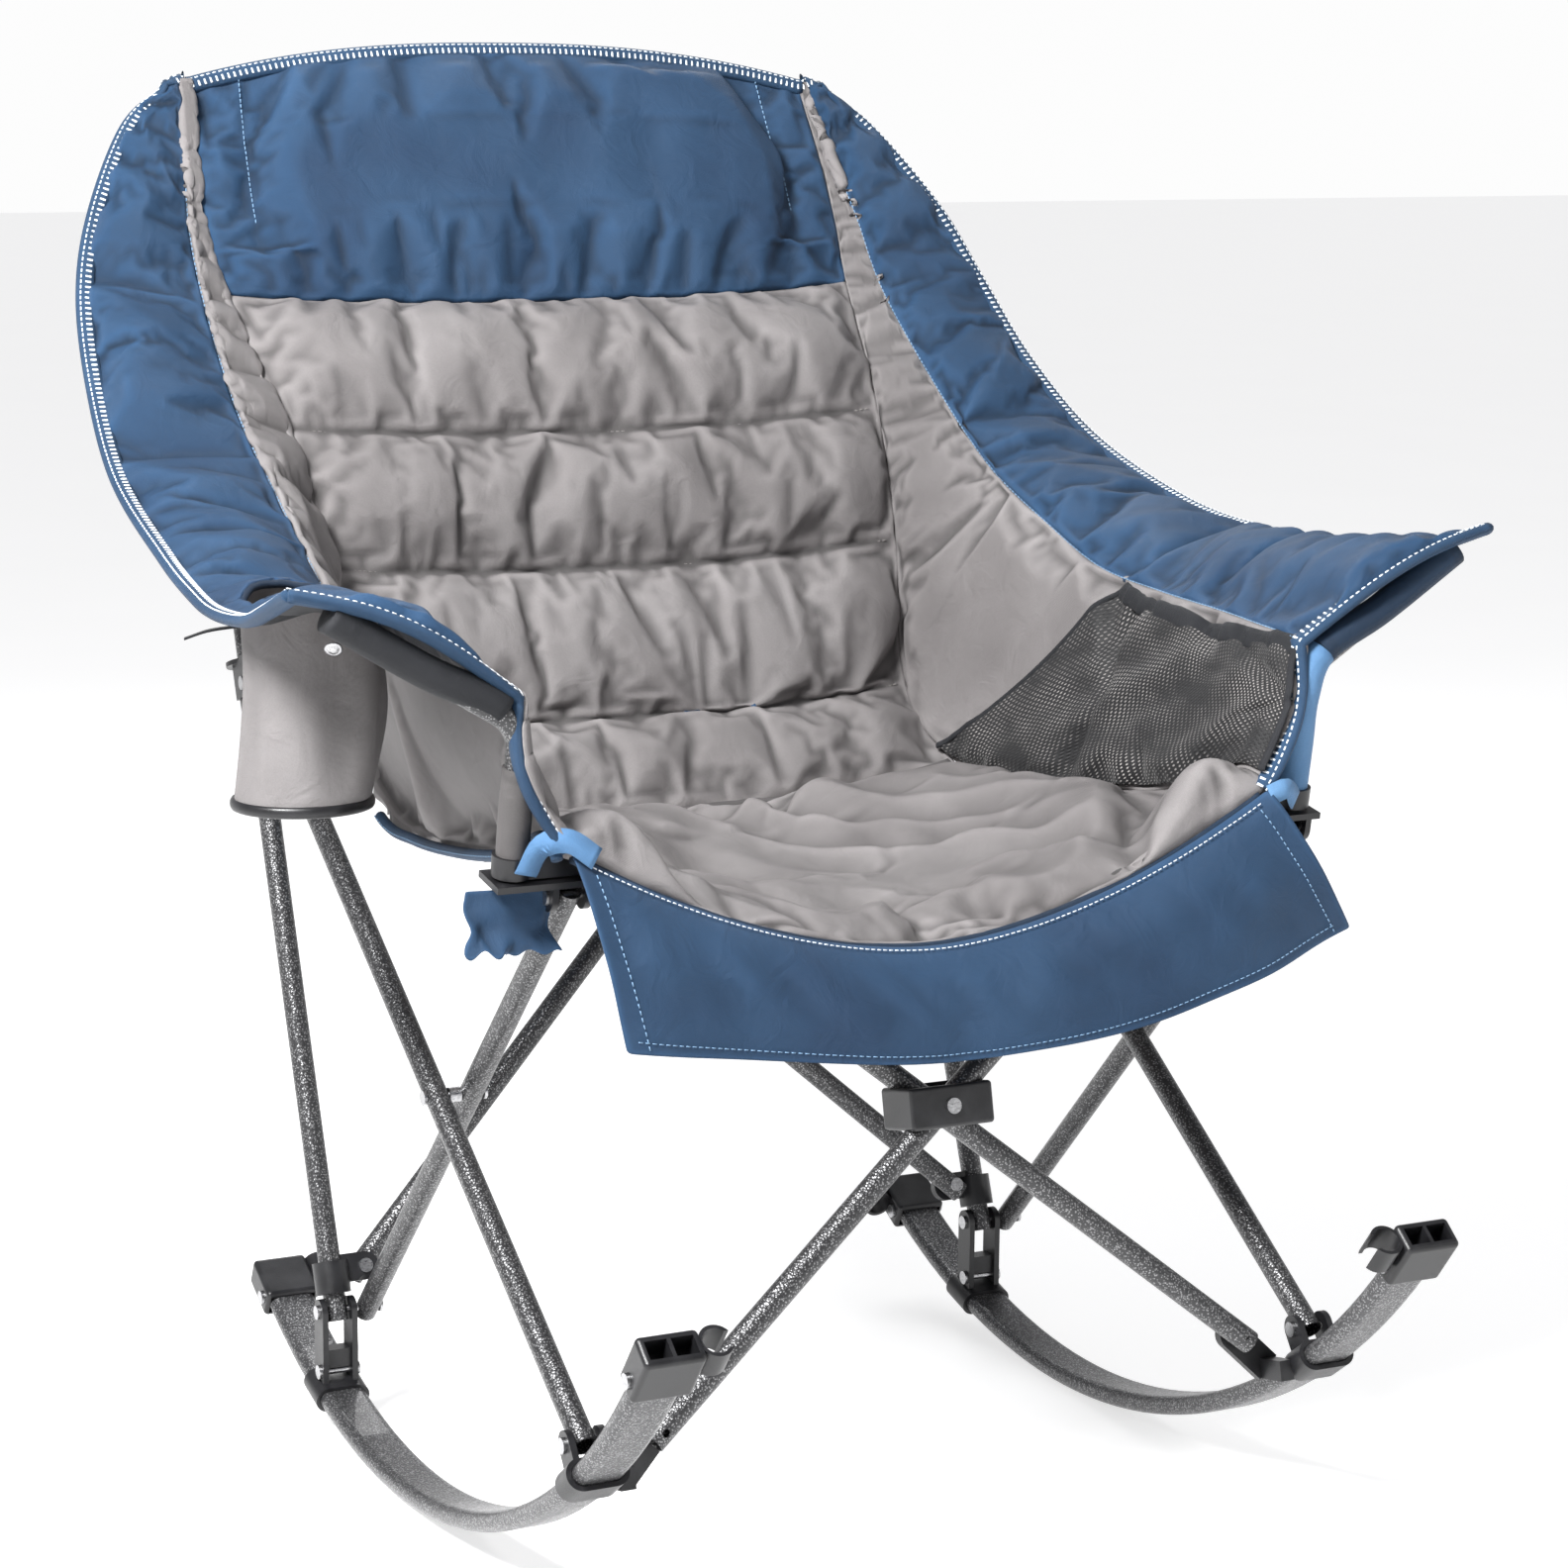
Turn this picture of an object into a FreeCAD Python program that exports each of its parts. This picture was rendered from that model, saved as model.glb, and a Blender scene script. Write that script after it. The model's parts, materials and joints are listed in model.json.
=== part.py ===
import FreeCAD, Part
import math
import os
import Sketcher

# Camp rocking chair, millimetres. +Z up, the sitter faces -Y, +X is the sitter's left.
# The origin is on the floor under the middle of the chair.

Vector = FreeCAD.Vector
doc = FreeCAD.newDocument("camp_rocking_chair")

# ---------------------------------------------------------------- driving dimensions
DIMENSIONS = {
    # frame layout
    "half_track": 310.0,        # middle plane of each side frame, from the centre
    "post_lean": 20.3,          # degrees, back posts from the vertical
    "pivot_y": 152.0,           # foot pivot of the back post
    "pivot_z": 100.0,
    "front_pivot_y": -388.0,    # foot pivot of the front leg
    "front_pivot_z": 155.0,
    "corner_y": -297.0,         # top pivot of the rear leg, at the seat corner
    "corner_z": 538.0,
    "slider_up": 541.0,         # front leg's top pivot, along the post from its foot pivot
    "slider_out": 24.5,         # and in front of the post's axis
    "post_length": 1072.0,
    "leg_offset": 28.5,         # rear leg beside the side frame's middle plane
    # tubes
    "tube_d": 19.0,
    "tube_wall": 1.5,
    "pin_d": 6.0,
    "pin_gap": 0.08,            # radial clearance of a pin in its hole
    "head_d": 12.0,
    "head_h": 2.4,
    # rockers
    "rail_radius": 656.0,
    "rail_centre_y": -17.5,
    "rail_centre_z": 664.0,
    "rail_width": 40.0,
    "rail_thick": 16.0,
    "rail_wall": 1.8,
    "rail_front": 51.3,         # degrees from straight down to each end
    "rail_rear": 27.8,
    "clevis_at": 15.2,
    # black mouldings
    "ear_thick": 5.0,
    "ear_r": 11.0,
    "ear_gap": 1.0,
    "collar_d": 30.0,
    "collar_h": 27.0,
    "slide_gap": 0.3,
    "rear_inset": 30.0,         # rear cross tube pivots, inwards from the post
    "rear_low": 34.0,           # their heights along the post
    "rear_high": 581.0,
    "rear_stagger": 14.0,       # cross tube axes in front of and behind their lugs
    "front_inset": 57.0,
    "leg_fold": 33.4,           # degrees that a rear leg turns towards its post when folded
    "foot_play": 1.0,           # between a cross tube's foot and its lug
    "front_stagger": 10.0,
    "lug_thick": 8.0,
    "lug_r": 12.0,
    "arm_offset": 44.5,         # -X arm post, outwards from the leg that carries it
    "arm_forward": 38.0,        # slope of the arm post's straight part
    "arm_up": 201.0,
    "arm_straight": 134.0,      # from the seat corner to the bend
    "arm_bend": 34.0,
    "arm_tip": 470.0,           # half the width over the arm posts' tips
    "arm_rise": 87.0,           # from the bend to the tip
    "arm_slide": 28.0,          # front cross tube's slider, along the arm post
    "hub_w": 70.0,
    "hub_h": 32.0,
    "hub_d": 50.0,
    "hub_wall": 4.5,
    # covers
    "back_thick": 34.0,
    "seat_thick": 28.0,
    "wing_thick": 14.0,
    "side_thick": 8.0,
    "skirt_thick": 5.0,
    "cup_x": 418.0,
    "cup_y": -133.0,
    "cup_top": 704.0,
    "cup_low": 592.0,
    "cup_r_top": 56.0,
    "cup_r_low": 52.0,
    "cup_wall": 3.0,
}

sheet = doc.addObject("Spreadsheet::Sheet", "dims")
for line, (alias, value) in enumerate(DIMENSIONS.items(), start=1):
    sheet.set("A%d" % line, alias)
    sheet.set("B%d" % line, str(value))
    sheet.setAlias("B%d" % line, alias)
doc.recompute()


def dim(alias):
    return float(sheet.get(alias))


# ---------------------------------------------------------------- derived positions
LEAN = math.radians(dim("post_lean"))
UP = Vector(0, math.sin(LEAN), math.cos(LEAN))          # along a back post
OUT = Vector(0, -math.cos(LEAN), math.sin(LEAN))        # square to it, forwards
ACROSS = Vector(1, 0, 0)
FOOT = Vector(0, dim("pivot_y"), dim("pivot_z"))
FRONT_FOOT = Vector(0, dim("front_pivot_y"), dim("front_pivot_z"))
CORNER = Vector(0, dim("corner_y"), dim("corner_z"))
SLIDER = FOOT + UP * dim("slider_up") + OUT * dim("slider_out")
ARC_CENTRE = Vector(0, dim("rail_centre_y"), dim("rail_centre_z"))
TUBE_R = dim("tube_d") / 2
TRACK = dim("half_track")


def crossing_point():
    """Where the front leg and the rear leg cross, seen from the side."""
    front, rear = SLIDER - FRONT_FOOT, CORNER - FOOT
    gap = FOOT - FRONT_FOOT
    share = (gap.y * rear.z - gap.z * rear.y) / (front.y * rear.z - front.z * rear.y)
    return FRONT_FOOT + front * share


CROSSING = crossing_point()
ARM_UNIT = Vector(0, -dim("arm_forward"), dim("arm_up")).normalize()    # up the arm posts
UPPER_PIVOT = CORNER + ARM_UNIT * dim("arm_slide")
CROSS_UP = (UPPER_PIVOT - FRONT_FOOT).normalize()        # up the plane of the front cross tubes
CROSS_OUT = Vector(0, -CROSS_UP.z, CROSS_UP.y)           # square to it, forwards


# ---------------------------------------------------------------- small building functions
def frame_rotation(along, sideways):
    """The turn that takes local Z to `along` and local X to `sideways`."""
    z = Vector(along).normalize()
    x = Vector(sideways)
    x = (x - z * x.dot(z)).normalize()
    return FreeCAD.Rotation(x, z.cross(x), z, "ZXY")


def place(obj, base, along=Vector(0, 0, 1), sideways=Vector(1, 0, 0)):
    obj.Placement = FreeCAD.Placement(Vector(base), frame_rotation(along, sideways))
    return obj


def bind(obj, prop, expression):
    obj.setExpression(prop, expression)


def cylinder(radius, height, base, along=Vector(0, 0, 1), name="pin"):
    """A cylinder; radius is an expression of the sheet, height a length or an expression."""
    obj = doc.addObject("Part::Cylinder", name)
    bind(obj, "Radius", radius)
    if isinstance(height, str):
        bind(obj, "Height", height)
    else:
        obj.Height = height
    sideways = Vector(0, 0, 1) if abs(Vector(along).normalize().x) > 0.9 else Vector(1, 0, 0)
    return place(obj, base, along, sideways)


def box(size, centre, along=Vector(0, 0, 1), name="block"):
    """A box of size (across X, square to along, along) about its centre."""
    obj = doc.addObject("Part::Box", name)
    obj.Length, obj.Width, obj.Height = size
    turn = frame_rotation(along, ACROSS)
    corner = Vector(centre) - turn.multVec(Vector(*size) * 0.5)
    obj.Placement = FreeCAD.Placement(corner, turn)
    return obj


def fuse(parts, name="union"):
    obj = doc.addObject("Part::MultiFuse", name)
    obj.Shapes = parts
    obj.Refine = True
    return obj


def cut(base, tools, name="cut"):
    obj = doc.addObject("Part::Cut", name)
    obj.Base = base
    obj.Tool = tools[0] if len(tools) == 1 else fuse(tools, "tools")
    return obj


def compound(parts, name):
    obj = doc.addObject("Part::Compound", name)
    obj.Links = parts
    return obj


NODES = {}


def node(name, obj):
    """Names a finished sub-part after its node."""
    obj.Label = name
    NODES[name] = obj
    return obj


def feature(name, shape):
    obj = doc.addObject("Part::Feature", name)
    obj.Shape = shape
    obj.Placement = FreeCAD.Placement()
    return node(name, obj)


PIN_HOLE = "dims.pin_d / 2 + dims.pin_gap"
HOLE_LENGTH = 90.0


def pin_hole(at, along=ACROSS, length=HOLE_LENGTH):
    along = Vector(along).normalize()
    return cylinder(PIN_HOLE, length, Vector(at) - along * (length / 2), along, "hole")


def rivet(start, end, name="rivet"):
    """A rivet with a shank between two faces and a head on each."""
    along = (Vector(end) - Vector(start)).normalize()
    length = (Vector(end) - Vector(start)).Length
    shank = cylinder("dims.pin_d / 2", length, start, along)
    low = cylinder("dims.head_d / 2", "dims.head_h", Vector(start) - along * dim("head_h"), along)
    high = cylinder("dims.head_d / 2", "dims.head_h", end, along)
    return fuse([shank, low, high], name)


def stub(face, along, depth):
    """A rivet head with a short shank: the end of a pivot whose pin is left out in the middle."""
    along = Vector(along).normalize()
    head = cylinder("dims.head_d / 2", "dims.head_h", face, along)
    shank = cylinder("dims.pin_d / 2", depth, Vector(face) - along * depth, along)
    return fuse([head, shank], "stub")


def tube(name, low, high, holes):
    """A round tube; holes are (point, direction)."""
    low, high = Vector(low), Vector(high)
    along = high - low
    outer = cylinder("dims.tube_d / 2", along.Length, low, along, "tube_outer")
    bore = cylinder("dims.tube_d / 2 - dims.tube_wall", along.Length, low, along, "tube_bore")
    tools = [bore] + [pin_hole(at, turn) for at, turn in holes]
    return node(name, cut(outer, tools, name))


def lug(pivot, root, axis, thick, name="lug"):
    """A flat lug from root to a rounded end about pivot, square to axis."""
    axis = Vector(axis).normalize()
    reach = Vector(root) - Vector(pivot)
    eye = cylinder("dims.lug_r", thick, Vector(pivot) - axis * (thick / 2), axis, "eye")
    arm = doc.addObject("Part::Box", "arm")
    arm.Length = thick
    bind(arm, "Width", "dims.lug_r * 2")
    arm.Height = reach.Length
    turn = frame_rotation(reach, axis)
    corner = Vector(pivot) - turn.multVec(Vector(thick / 2, dim("lug_r"), 0))
    arm.Placement = FreeCAD.Placement(corner, turn)
    return fuse([eye, arm], name)


def ear_pair(pivot, root, middle_x, inner_half):
    """Two flat ears either side of a tube, from root to a rounded end about pivot."""
    ears = []
    thick = dim("ear_thick")
    for sign in (-1, 1):
        x = middle_x + sign * (inner_half + thick / 2)
        eye_at = Vector(x - thick / 2, pivot.y, pivot.z)
        eye = cylinder("dims.ear_r", "dims.ear_thick", eye_at, ACROSS, "eye")
        reach = Vector(0, root.y - pivot.y, root.z - pivot.z)
        web = doc.addObject("Part::Box", "ear")
        bind(web, "Length", "dims.ear_thick")
        bind(web, "Width", "dims.ear_r * 2")
        web.Height = reach.Length
        turn = frame_rotation(reach, ACROSS)
        corner = Vector(x, pivot.y, pivot.z) - turn.multVec(Vector(thick / 2, dim("ear_r"), 0))
        web.Placement = FreeCAD.Placement(corner, turn)
        ears.append(fuse([eye, web], "ear"))
    return ears


def on_arc(degrees, radius):
    turn = math.radians(degrees)
    return ARC_CENTRE + Vector(0, math.sin(turn), -math.cos(turn)) * radius


def arc_tangent(degrees):
    turn = math.radians(degrees)
    return Vector(0, math.cos(turn), math.sin(turn))


# ---------------------------------------------------------------- rocker rails
def slot_outline(sketch, width, thick, radius):
    """A flat-oval outline, `width` across and `thick` high, centred `radius` below the origin."""
    half, r = width / 2 - thick / 2, thick / 2
    y = -radius
    first = sketch.GeometryCount
    sketch.addGeometry(Part.LineSegment(Vector(-half, y + r, 0), Vector(half, y + r, 0)))
    right = Part.Circle(Vector(half, y, 0), Vector(0, 0, 1), r)
    sketch.addGeometry(Part.ArcOfCircle(right, -math.pi / 2, math.pi / 2))
    sketch.addGeometry(Part.LineSegment(Vector(half, y - r, 0), Vector(-half, y - r, 0)))
    left = Part.Circle(Vector(-half, y, 0), Vector(0, 0, 1), r)
    sketch.addGeometry(Part.ArcOfCircle(left, math.pi / 2, 3 * math.pi / 2))
    for a, b, end_a, end_b in ((0, 1, 2, 2), (1, 2, 1, 1), (2, 3, 2, 2), (3, 0, 1, 1)):
        sketch.addConstraint(Sketcher.Constraint("Coincident", first + a, end_a, first + b, end_b))


def rocker_rail(name, x):
    body = doc.addObject("PartDesign::Body", name)
    sketch = body.newObject("Sketcher::SketchObject", "rail_section")
    plane = [o for o in body.Origin.OriginFeatures if o.Role == "XY_Plane"][0]
    sketch.AttachmentSupport = [(plane, "")]
    sketch.MapMode = "FlatFace"
    radius, wall = dim("rail_radius"), dim("rail_wall")
    slot_outline(sketch, dim("rail_width"), dim("rail_thick"), radius)
    slot_outline(sketch, dim("rail_width") - 2 * wall, dim("rail_thick") - 2 * wall, radius)
    sweep = body.newObject("PartDesign::Revolution", "rail_arc")
    sweep.Profile = sketch
    axis = [o for o in body.Origin.OriginFeatures if o.Role == "X_Axis"][0]
    sweep.ReferenceAxis = (axis, [""])
    bind(sweep, "Angle", "dims.rail_front + dims.rail_rear")
    # local Y starts up the radius of the front end, and the sweep runs back from there
    start = math.radians(dim("rail_front"))
    radial = Vector(0, math.sin(start), math.cos(start))
    turn = FreeCAD.Rotation(ACROSS, radial, ACROSS.cross(radial), "ZXY")
    body.Placement = FreeCAD.Placement(Vector(x, ARC_CENTRE.y, ARC_CENTRE.z), turn)
    return body


# ---------------------------------------------------------------- mouldings on the rockers
def rail_sleeve(x, at, length, grow, gap):
    """A flat-oval sleeve round the rail, square across it at one angle."""
    width, thick = dim("rail_width"), dim("rail_thick")
    tangent = arc_tangent(at)
    centre = on_arc(at, dim("rail_radius"))
    base = Vector(x, centre.y, centre.z) - tangent * (length / 2)

    def stadium(w, t):
        half = (w - t) / 2
        parts = [cylinder("%s" % (t / 2), length, base + ACROSS * (s * half), tangent) for s in (-1, 1)]
        core = box((w - t, t, length), base + tangent * (length / 2), tangent)
        return fuse(parts + [core], "stadium")

    outside = stadium(width + 2 * grow, thick + 2 * grow)
    inside = stadium(width + 2 * gap, thick + 2 * gap)
    return outside, inside


def rear_foot_bracket(side, x):
    """The clevis that is riveted to the rail and holds the foot of the back post."""
    root = on_arc(dim("clevis_at"), dim("rail_radius") - 4)
    inner_half = TUBE_R + dim("ear_gap")
    ears = ear_pair(FOOT, root, x, inner_half)
    outside, inside = rail_sleeve(x, dim("clevis_at"), 34.0, 3.5, 0.35)
    web_at = FOOT + (root - FOOT) * 0.62
    reach = FOOT - root
    web = box((2 * inner_half, 14.0, 16.0), Vector(x, web_at.y, web_at.z), reach, "web")
    solid = fuse(ears + [outside, web], "clevis")
    tools = [inside, pin_hole(Vector(x, FOOT.y, FOOT.z)), pin_hole(fixing_point(x))]
    return node(side + "_rear_foot_bracket", cut(solid, tools))


def fixing_point(x):
    at = on_arc(dim("clevis_at"), dim("rail_radius") - dim("rail_thick") / 2 - 10.0)
    return Vector(x, at.y, at.z)


def front_angle():
    reach = FRONT_FOOT - ARC_CENTRE
    return math.degrees(math.atan2(reach.y, -reach.z))


def front_lug_offset(side):
    """The lug stands behind its cross tube: further back on the +X side."""
    behind = TUBE_R + dim("foot_play") + dim("lug_thick") / 2
    stagger = dim("front_stagger") if side == "left" else -dim("front_stagger")
    return stagger - behind


def front_foot_bracket(side, x, sign):
    """The ring that slides along the rail, with ears for the front leg and a lug inside."""
    at = front_angle()
    inner_half = TUBE_R + dim("ear_gap")
    ears = ear_pair(FRONT_FOOT, on_arc(at, dim("rail_radius") - 9), x, inner_half)
    outside, inside = rail_sleeve(x, at, 26.0, 4.5, 0.6)
    eye = Vector(x + sign * dim("front_inset"), FRONT_FOOT.y, FRONT_FOOT.z)
    eye = eye + CROSS_OUT * front_lug_offset(side)
    start = dim("rail_width") / 2 + 2.5
    root = eye - CROSS_UP * 30 - ACROSS * (sign * (dim("front_inset") - start - 5))
    plate = lug(eye, root, CROSS_OUT, dim("lug_thick"))
    depth = 12.0 - front_lug_offset(side)
    bridge_at = FRONT_FOOT + ACROSS * (x + sign * (start + 6)) - CROSS_UP * 30
    bridge = box((12.0, depth, 16.0), bridge_at + CROSS_OUT * (8.0 - depth / 2), CROSS_UP, "bridge")
    solid = fuse(ears + [outside, plate, bridge], "foot")
    clearance = box((2 * inner_half, 44.0, 26.0), Vector(x, FRONT_FOOT.y, FRONT_FOOT.z),
                    FRONT_FOOT - ARC_CENTRE, "leg_space")
    holes = [pin_hole(Vector(x, FRONT_FOOT.y, FRONT_FOOT.z), ACROSS, 36.0), pin_hole(eye, CROSS_OUT)]
    return node(side + "_front_foot_bracket", cut(solid, [inside, clearance] + holes))


CLIP_R = 13.0           # open snap clips on the rail ends
CLIP_BORE_R = 10.2


def end_clip(x, sign, at, tail):
    """The cap on a rail end, with an open snap clip that holds the other rail when folded."""
    width, thick = dim("rail_width"), dim("rail_thick")
    tangent = arc_tangent(at) * tail
    centre = on_arc(at, dim("rail_radius"))
    end = Vector(x, centre.y, centre.z)
    shell = fillet_box(box((width + 7, thick + 10, 46.0), end + tangent * 1, tangent, "cap"), 4.0)
    hollow = box((width + 0.1, thick + 1.4, 30.0), end - tangent * 14.8, tangent, "seat")
    pockets = [box((width / 2 - 3, thick - 1, 18.0), end + tangent * 16 + ACROSS * (s * width / 4),
                   tangent, "pocket") for s in (-1, 1)]
    radial = (ARC_CENTRE - centre).normalize()
    clip_at = end + tangent * 9 + ACROSS * (sign * (width / 2 + 15.0)) + radial * 2
    ring = cylinder(str(CLIP_R), 24.0, clip_at - tangent * 12, tangent, "clip_outer")
    ring_hole = cylinder(str(CLIP_BORE_R), 26.0, clip_at - tangent * 13, tangent, "clip_inner")
    mouth = box((18.0, 13.0, 28.0), clip_at + ACROSS * (sign * 10.5), tangent, "mouth")
    clip = cut(ring, [ring_hole, mouth], "clip")
    solid = fuse([shell, clip], "cap_and_clip")
    return cut(solid, [hollow] + pockets + [pin_hole(end - tangent * CAP_RIVET)], "end_clip")


def fillet_box(obj, radius):
    doc.recompute()
    rounded = doc.addObject("Part::Fillet", "rounded")
    rounded.Base = obj
    rounded.Edges = [(i + 1, radius, radius) for i in range(len(obj.Shape.Edges))]
    return rounded


CAP_RIVET = 11.0        # from a rail's end back to its cap's rivet
RAIL_ENDS = ((-1, "rail_front"), (1, "rail_rear"))


def cap_rivet_point(x, tail, end):
    at = on_arc(tail * dim(end), dim("rail_radius"))
    return Vector(x, at.y, at.z) - arc_tangent(tail * dim(end)) * (tail * CAP_RIVET)


def rail_with_holes(side, x):
    """The rail, drilled for the rivets of its end caps."""
    holes = [pin_hole(cap_rivet_point(x, tail, end)) for tail, end in RAIL_ENDS]
    return node(side + "_rocker_rail", cut(rocker_rail(side + "_rail_arc", x), holes))


def rocker_rivets(side, x):
    """The rivets through both end caps and through the rear foot bracket."""
    cap = dim("rail_width") / 2 + 3.6
    pins = []
    for tail, end in RAIL_ENDS:
        at = cap_rivet_point(x, tail, end)
        pins.append(rivet(at - ACROSS * cap, at + ACROSS * cap))
    ear = TUBE_R + dim("ear_gap") + dim("ear_thick") + 0.1
    at = fixing_point(x)
    pins.append(rivet(at - ACROSS * ear, at + ACROSS * ear))
    return node(side + "_rocker_rivets", compound(pins, "rivets"))


# ---------------------------------------------------------------- collars on the posts
def lower_collar(side, x, sign):
    base = FOOT + UP * 14 + ACROSS * x
    ring = cylinder("dims.collar_d / 2", "dims.collar_h", base, UP, "collar")
    eye = FOOT + UP * dim("rear_low") + ACROSS * (x + sign * dim("rear_inset"))
    plate = lug(eye, eye - ACROSS * (sign * (dim("rear_inset") - 8)), OUT, dim("lug_thick"))
    bore = cylinder("dims.tube_d / 2 + 0.05", 60.0, base - UP * 10, UP, "bore")
    # The hollow in the lug holds the rear leg, which lies along the post when folded.
    folded = FreeCAD.Rotation(ACROSS * -1, dim("leg_fold")).multVec(CORNER - FOOT)
    leg_way = cylinder("dims.tube_d / 2 + 1.2", 90.0, FOOT + ACROSS * (x + dim("leg_offset")), folded, "way")
    return node(side + "_lower_collar", cut(fuse([ring, plate]), [bore, leg_way, pin_hole(eye, OUT)]))


def upper_collar(side, x, sign):
    """The slider on the post: ears for the front leg, a flange above them and a lug inside."""
    pivot = SLIDER + ACROSS * x
    foot = FOOT + UP * dim("slider_up") + ACROSS * x
    sleeve = cylinder("dims.tube_d / 2 + 2.4", 46.0, foot - UP * 22, UP, "sleeve")
    flange = cylinder("dims.collar_d / 2 + 5", 4.0, foot + UP * 20, UP, "flange")
    inner_half = TUBE_R + dim("ear_gap")
    ears = ear_pair(pivot, pivot + UP * 22 + OUT * -4, x, inner_half)
    cheeks = [box((4.5, 24.0, 30.0), foot + ACROSS * (s * (TUBE_R + 3.0)) + OUT * 10 + UP * 5, UP)
              for s in (-1, 1)]
    eye = FOOT + UP * dim("rear_high") + ACROSS * (x + sign * dim("rear_inset"))
    plate = lug(eye, eye - ACROSS * (sign * (dim("rear_inset") - 15)) - UP * 14, OUT, dim("lug_thick"))
    strut = box((20.0, dim("lug_thick"), 22.0), foot + ACROSS * (sign * 19) + UP * 25, UP, "strut")
    solid = fuse([sleeve, flange, plate, strut] + ears + cheeks)
    bore = cylinder("dims.tube_d / 2 + dims.slide_gap", 120.0, foot - UP * 60, UP, "bore")
    space = box((2 * inner_half, 30.0, 44.0), pivot + OUT * 3.0 - UP * 2.5, UP, "leg_space")
    holes = [pin_hole(pivot, ACROSS, 40.0), pin_hole(eye, OUT)]
    return node(side + "_upper_collar", cut(solid, [bore, space] + holes))


# ---------------------------------------------------------------- seat corners and arm posts
def leg_top(side):
    x = TRACK * (-1 if side == "left" else 1) + dim("leg_offset")
    return CORNER + ACROSS * x


def arm_base(side):
    """The arm post stands beside the leg on the -X side and over it on the +X side."""
    return leg_top(side) - ACROSS * (dim("arm_offset") if side == "left" else 0)


def seat_corner_bracket(side):
    """The clevis round the rear leg's top, with a flange that the arm post stands on."""
    leg, base = leg_top(side), arm_base(side)
    ears = ear_pair(CORNER, CORNER + ARM_UNIT * 15, leg.x, TUBE_R + dim("ear_gap"))
    wide = 35.0 + abs(leg.x - base.x)
    flange = box((wide, 38.0, 5.0), (leg + base) * 0.5 + ARM_UNIT * 15.5, ARM_UNIT, "flange")
    solid = fuse(ears + [flange], "corner")
    return node(side + "_seat_corner_bracket", cut(solid, [pin_hole(leg, ACROSS, 40.0)]))


def arm_post(side):
    """A tube that stands on the seat corner and bends outwards under the arm."""
    outward = -1 if side == "left" else 1
    base = arm_base(side)
    bend = base + ARM_UNIT * dim("arm_straight")
    tip = Vector(outward * dim("arm_tip"), bend.y - 5.0, bend.z + dim("arm_rise"))
    start = base + ARM_UNIT * 18.2
    onward = (tip - bend).normalize()
    turn = math.acos(ARM_UNIT.dot(onward))
    reach = dim("arm_bend") * math.tan(turn / 2)
    arc_start, arc_end = bend - ARM_UNIT * reach, bend + onward * reach
    to_middle = (onward - ARM_UNIT).normalize()
    arc_middle = bend + to_middle * (dim("arm_bend") / math.cos(turn / 2) - dim("arm_bend"))
    path = Part.Wire([Part.LineSegment(start, arc_start).toShape(),
                      Part.Arc(arc_start, arc_middle, arc_end).toShape(),
                      Part.LineSegment(arc_end, tip).toShape()])
    solids = []
    for radius in (TUBE_R, TUBE_R - dim("tube_wall")):
        ring = Part.Wire([Part.makeCircle(radius, start, ARM_UNIT)])
        solids.append(path.makePipeShell([ring], True, True))
    return feature(side + "_arm_post", solids[0].cut(solids[1]))


def arm_slider(side, x, sign):
    """The collar that runs up the arm post and carries the front cross tube's top."""
    base = arm_base(side)
    middle = base + ARM_UNIT * dim("arm_slide")
    ring = cylinder("dims.collar_d / 2", 16.0, middle - ARM_UNIT * 8, ARM_UNIT, "slider")
    eye = Vector(x + sign * dim("front_inset"), UPPER_PIVOT.y, UPPER_PIVOT.z)
    eye = eye + CROSS_OUT * arm_lug_offset(side)
    root = Vector(middle.x, eye.y, eye.z)
    if abs(root.x - eye.x) < 20:
        root = Vector(eye.x - sign * 20, eye.y, eye.z)
    plate = lug(eye, root, CROSS_OUT, dim("lug_thick"))
    bore = cylinder("dims.tube_d / 2 + dims.slide_gap", 80.0, middle - ARM_UNIT * 40, ARM_UNIT, "bore")
    trim = box((200.0, 60.0, 30.0), middle + ARM_UNIT * 24, ARM_UNIT, "top_trim")
    floor = box((200.0, 60.0, 30.0), middle - ARM_UNIT * 24, ARM_UNIT, "low_trim")
    solid = cut(fuse([ring, plate], "slider_body"), [trim, floor])
    return node(side + "_arm_slider", cut(solid, [bore, pin_hole(eye, CROSS_OUT, 40.0)]))


def arm_lug_offset(side):
    """The lug stands in front of its cross tube on the -X side and behind it on the +X side."""
    beside = TUBE_R + dim("foot_play") + dim("lug_thick") / 2 - dim("front_stagger")
    return beside if side == "left" else -beside


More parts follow.
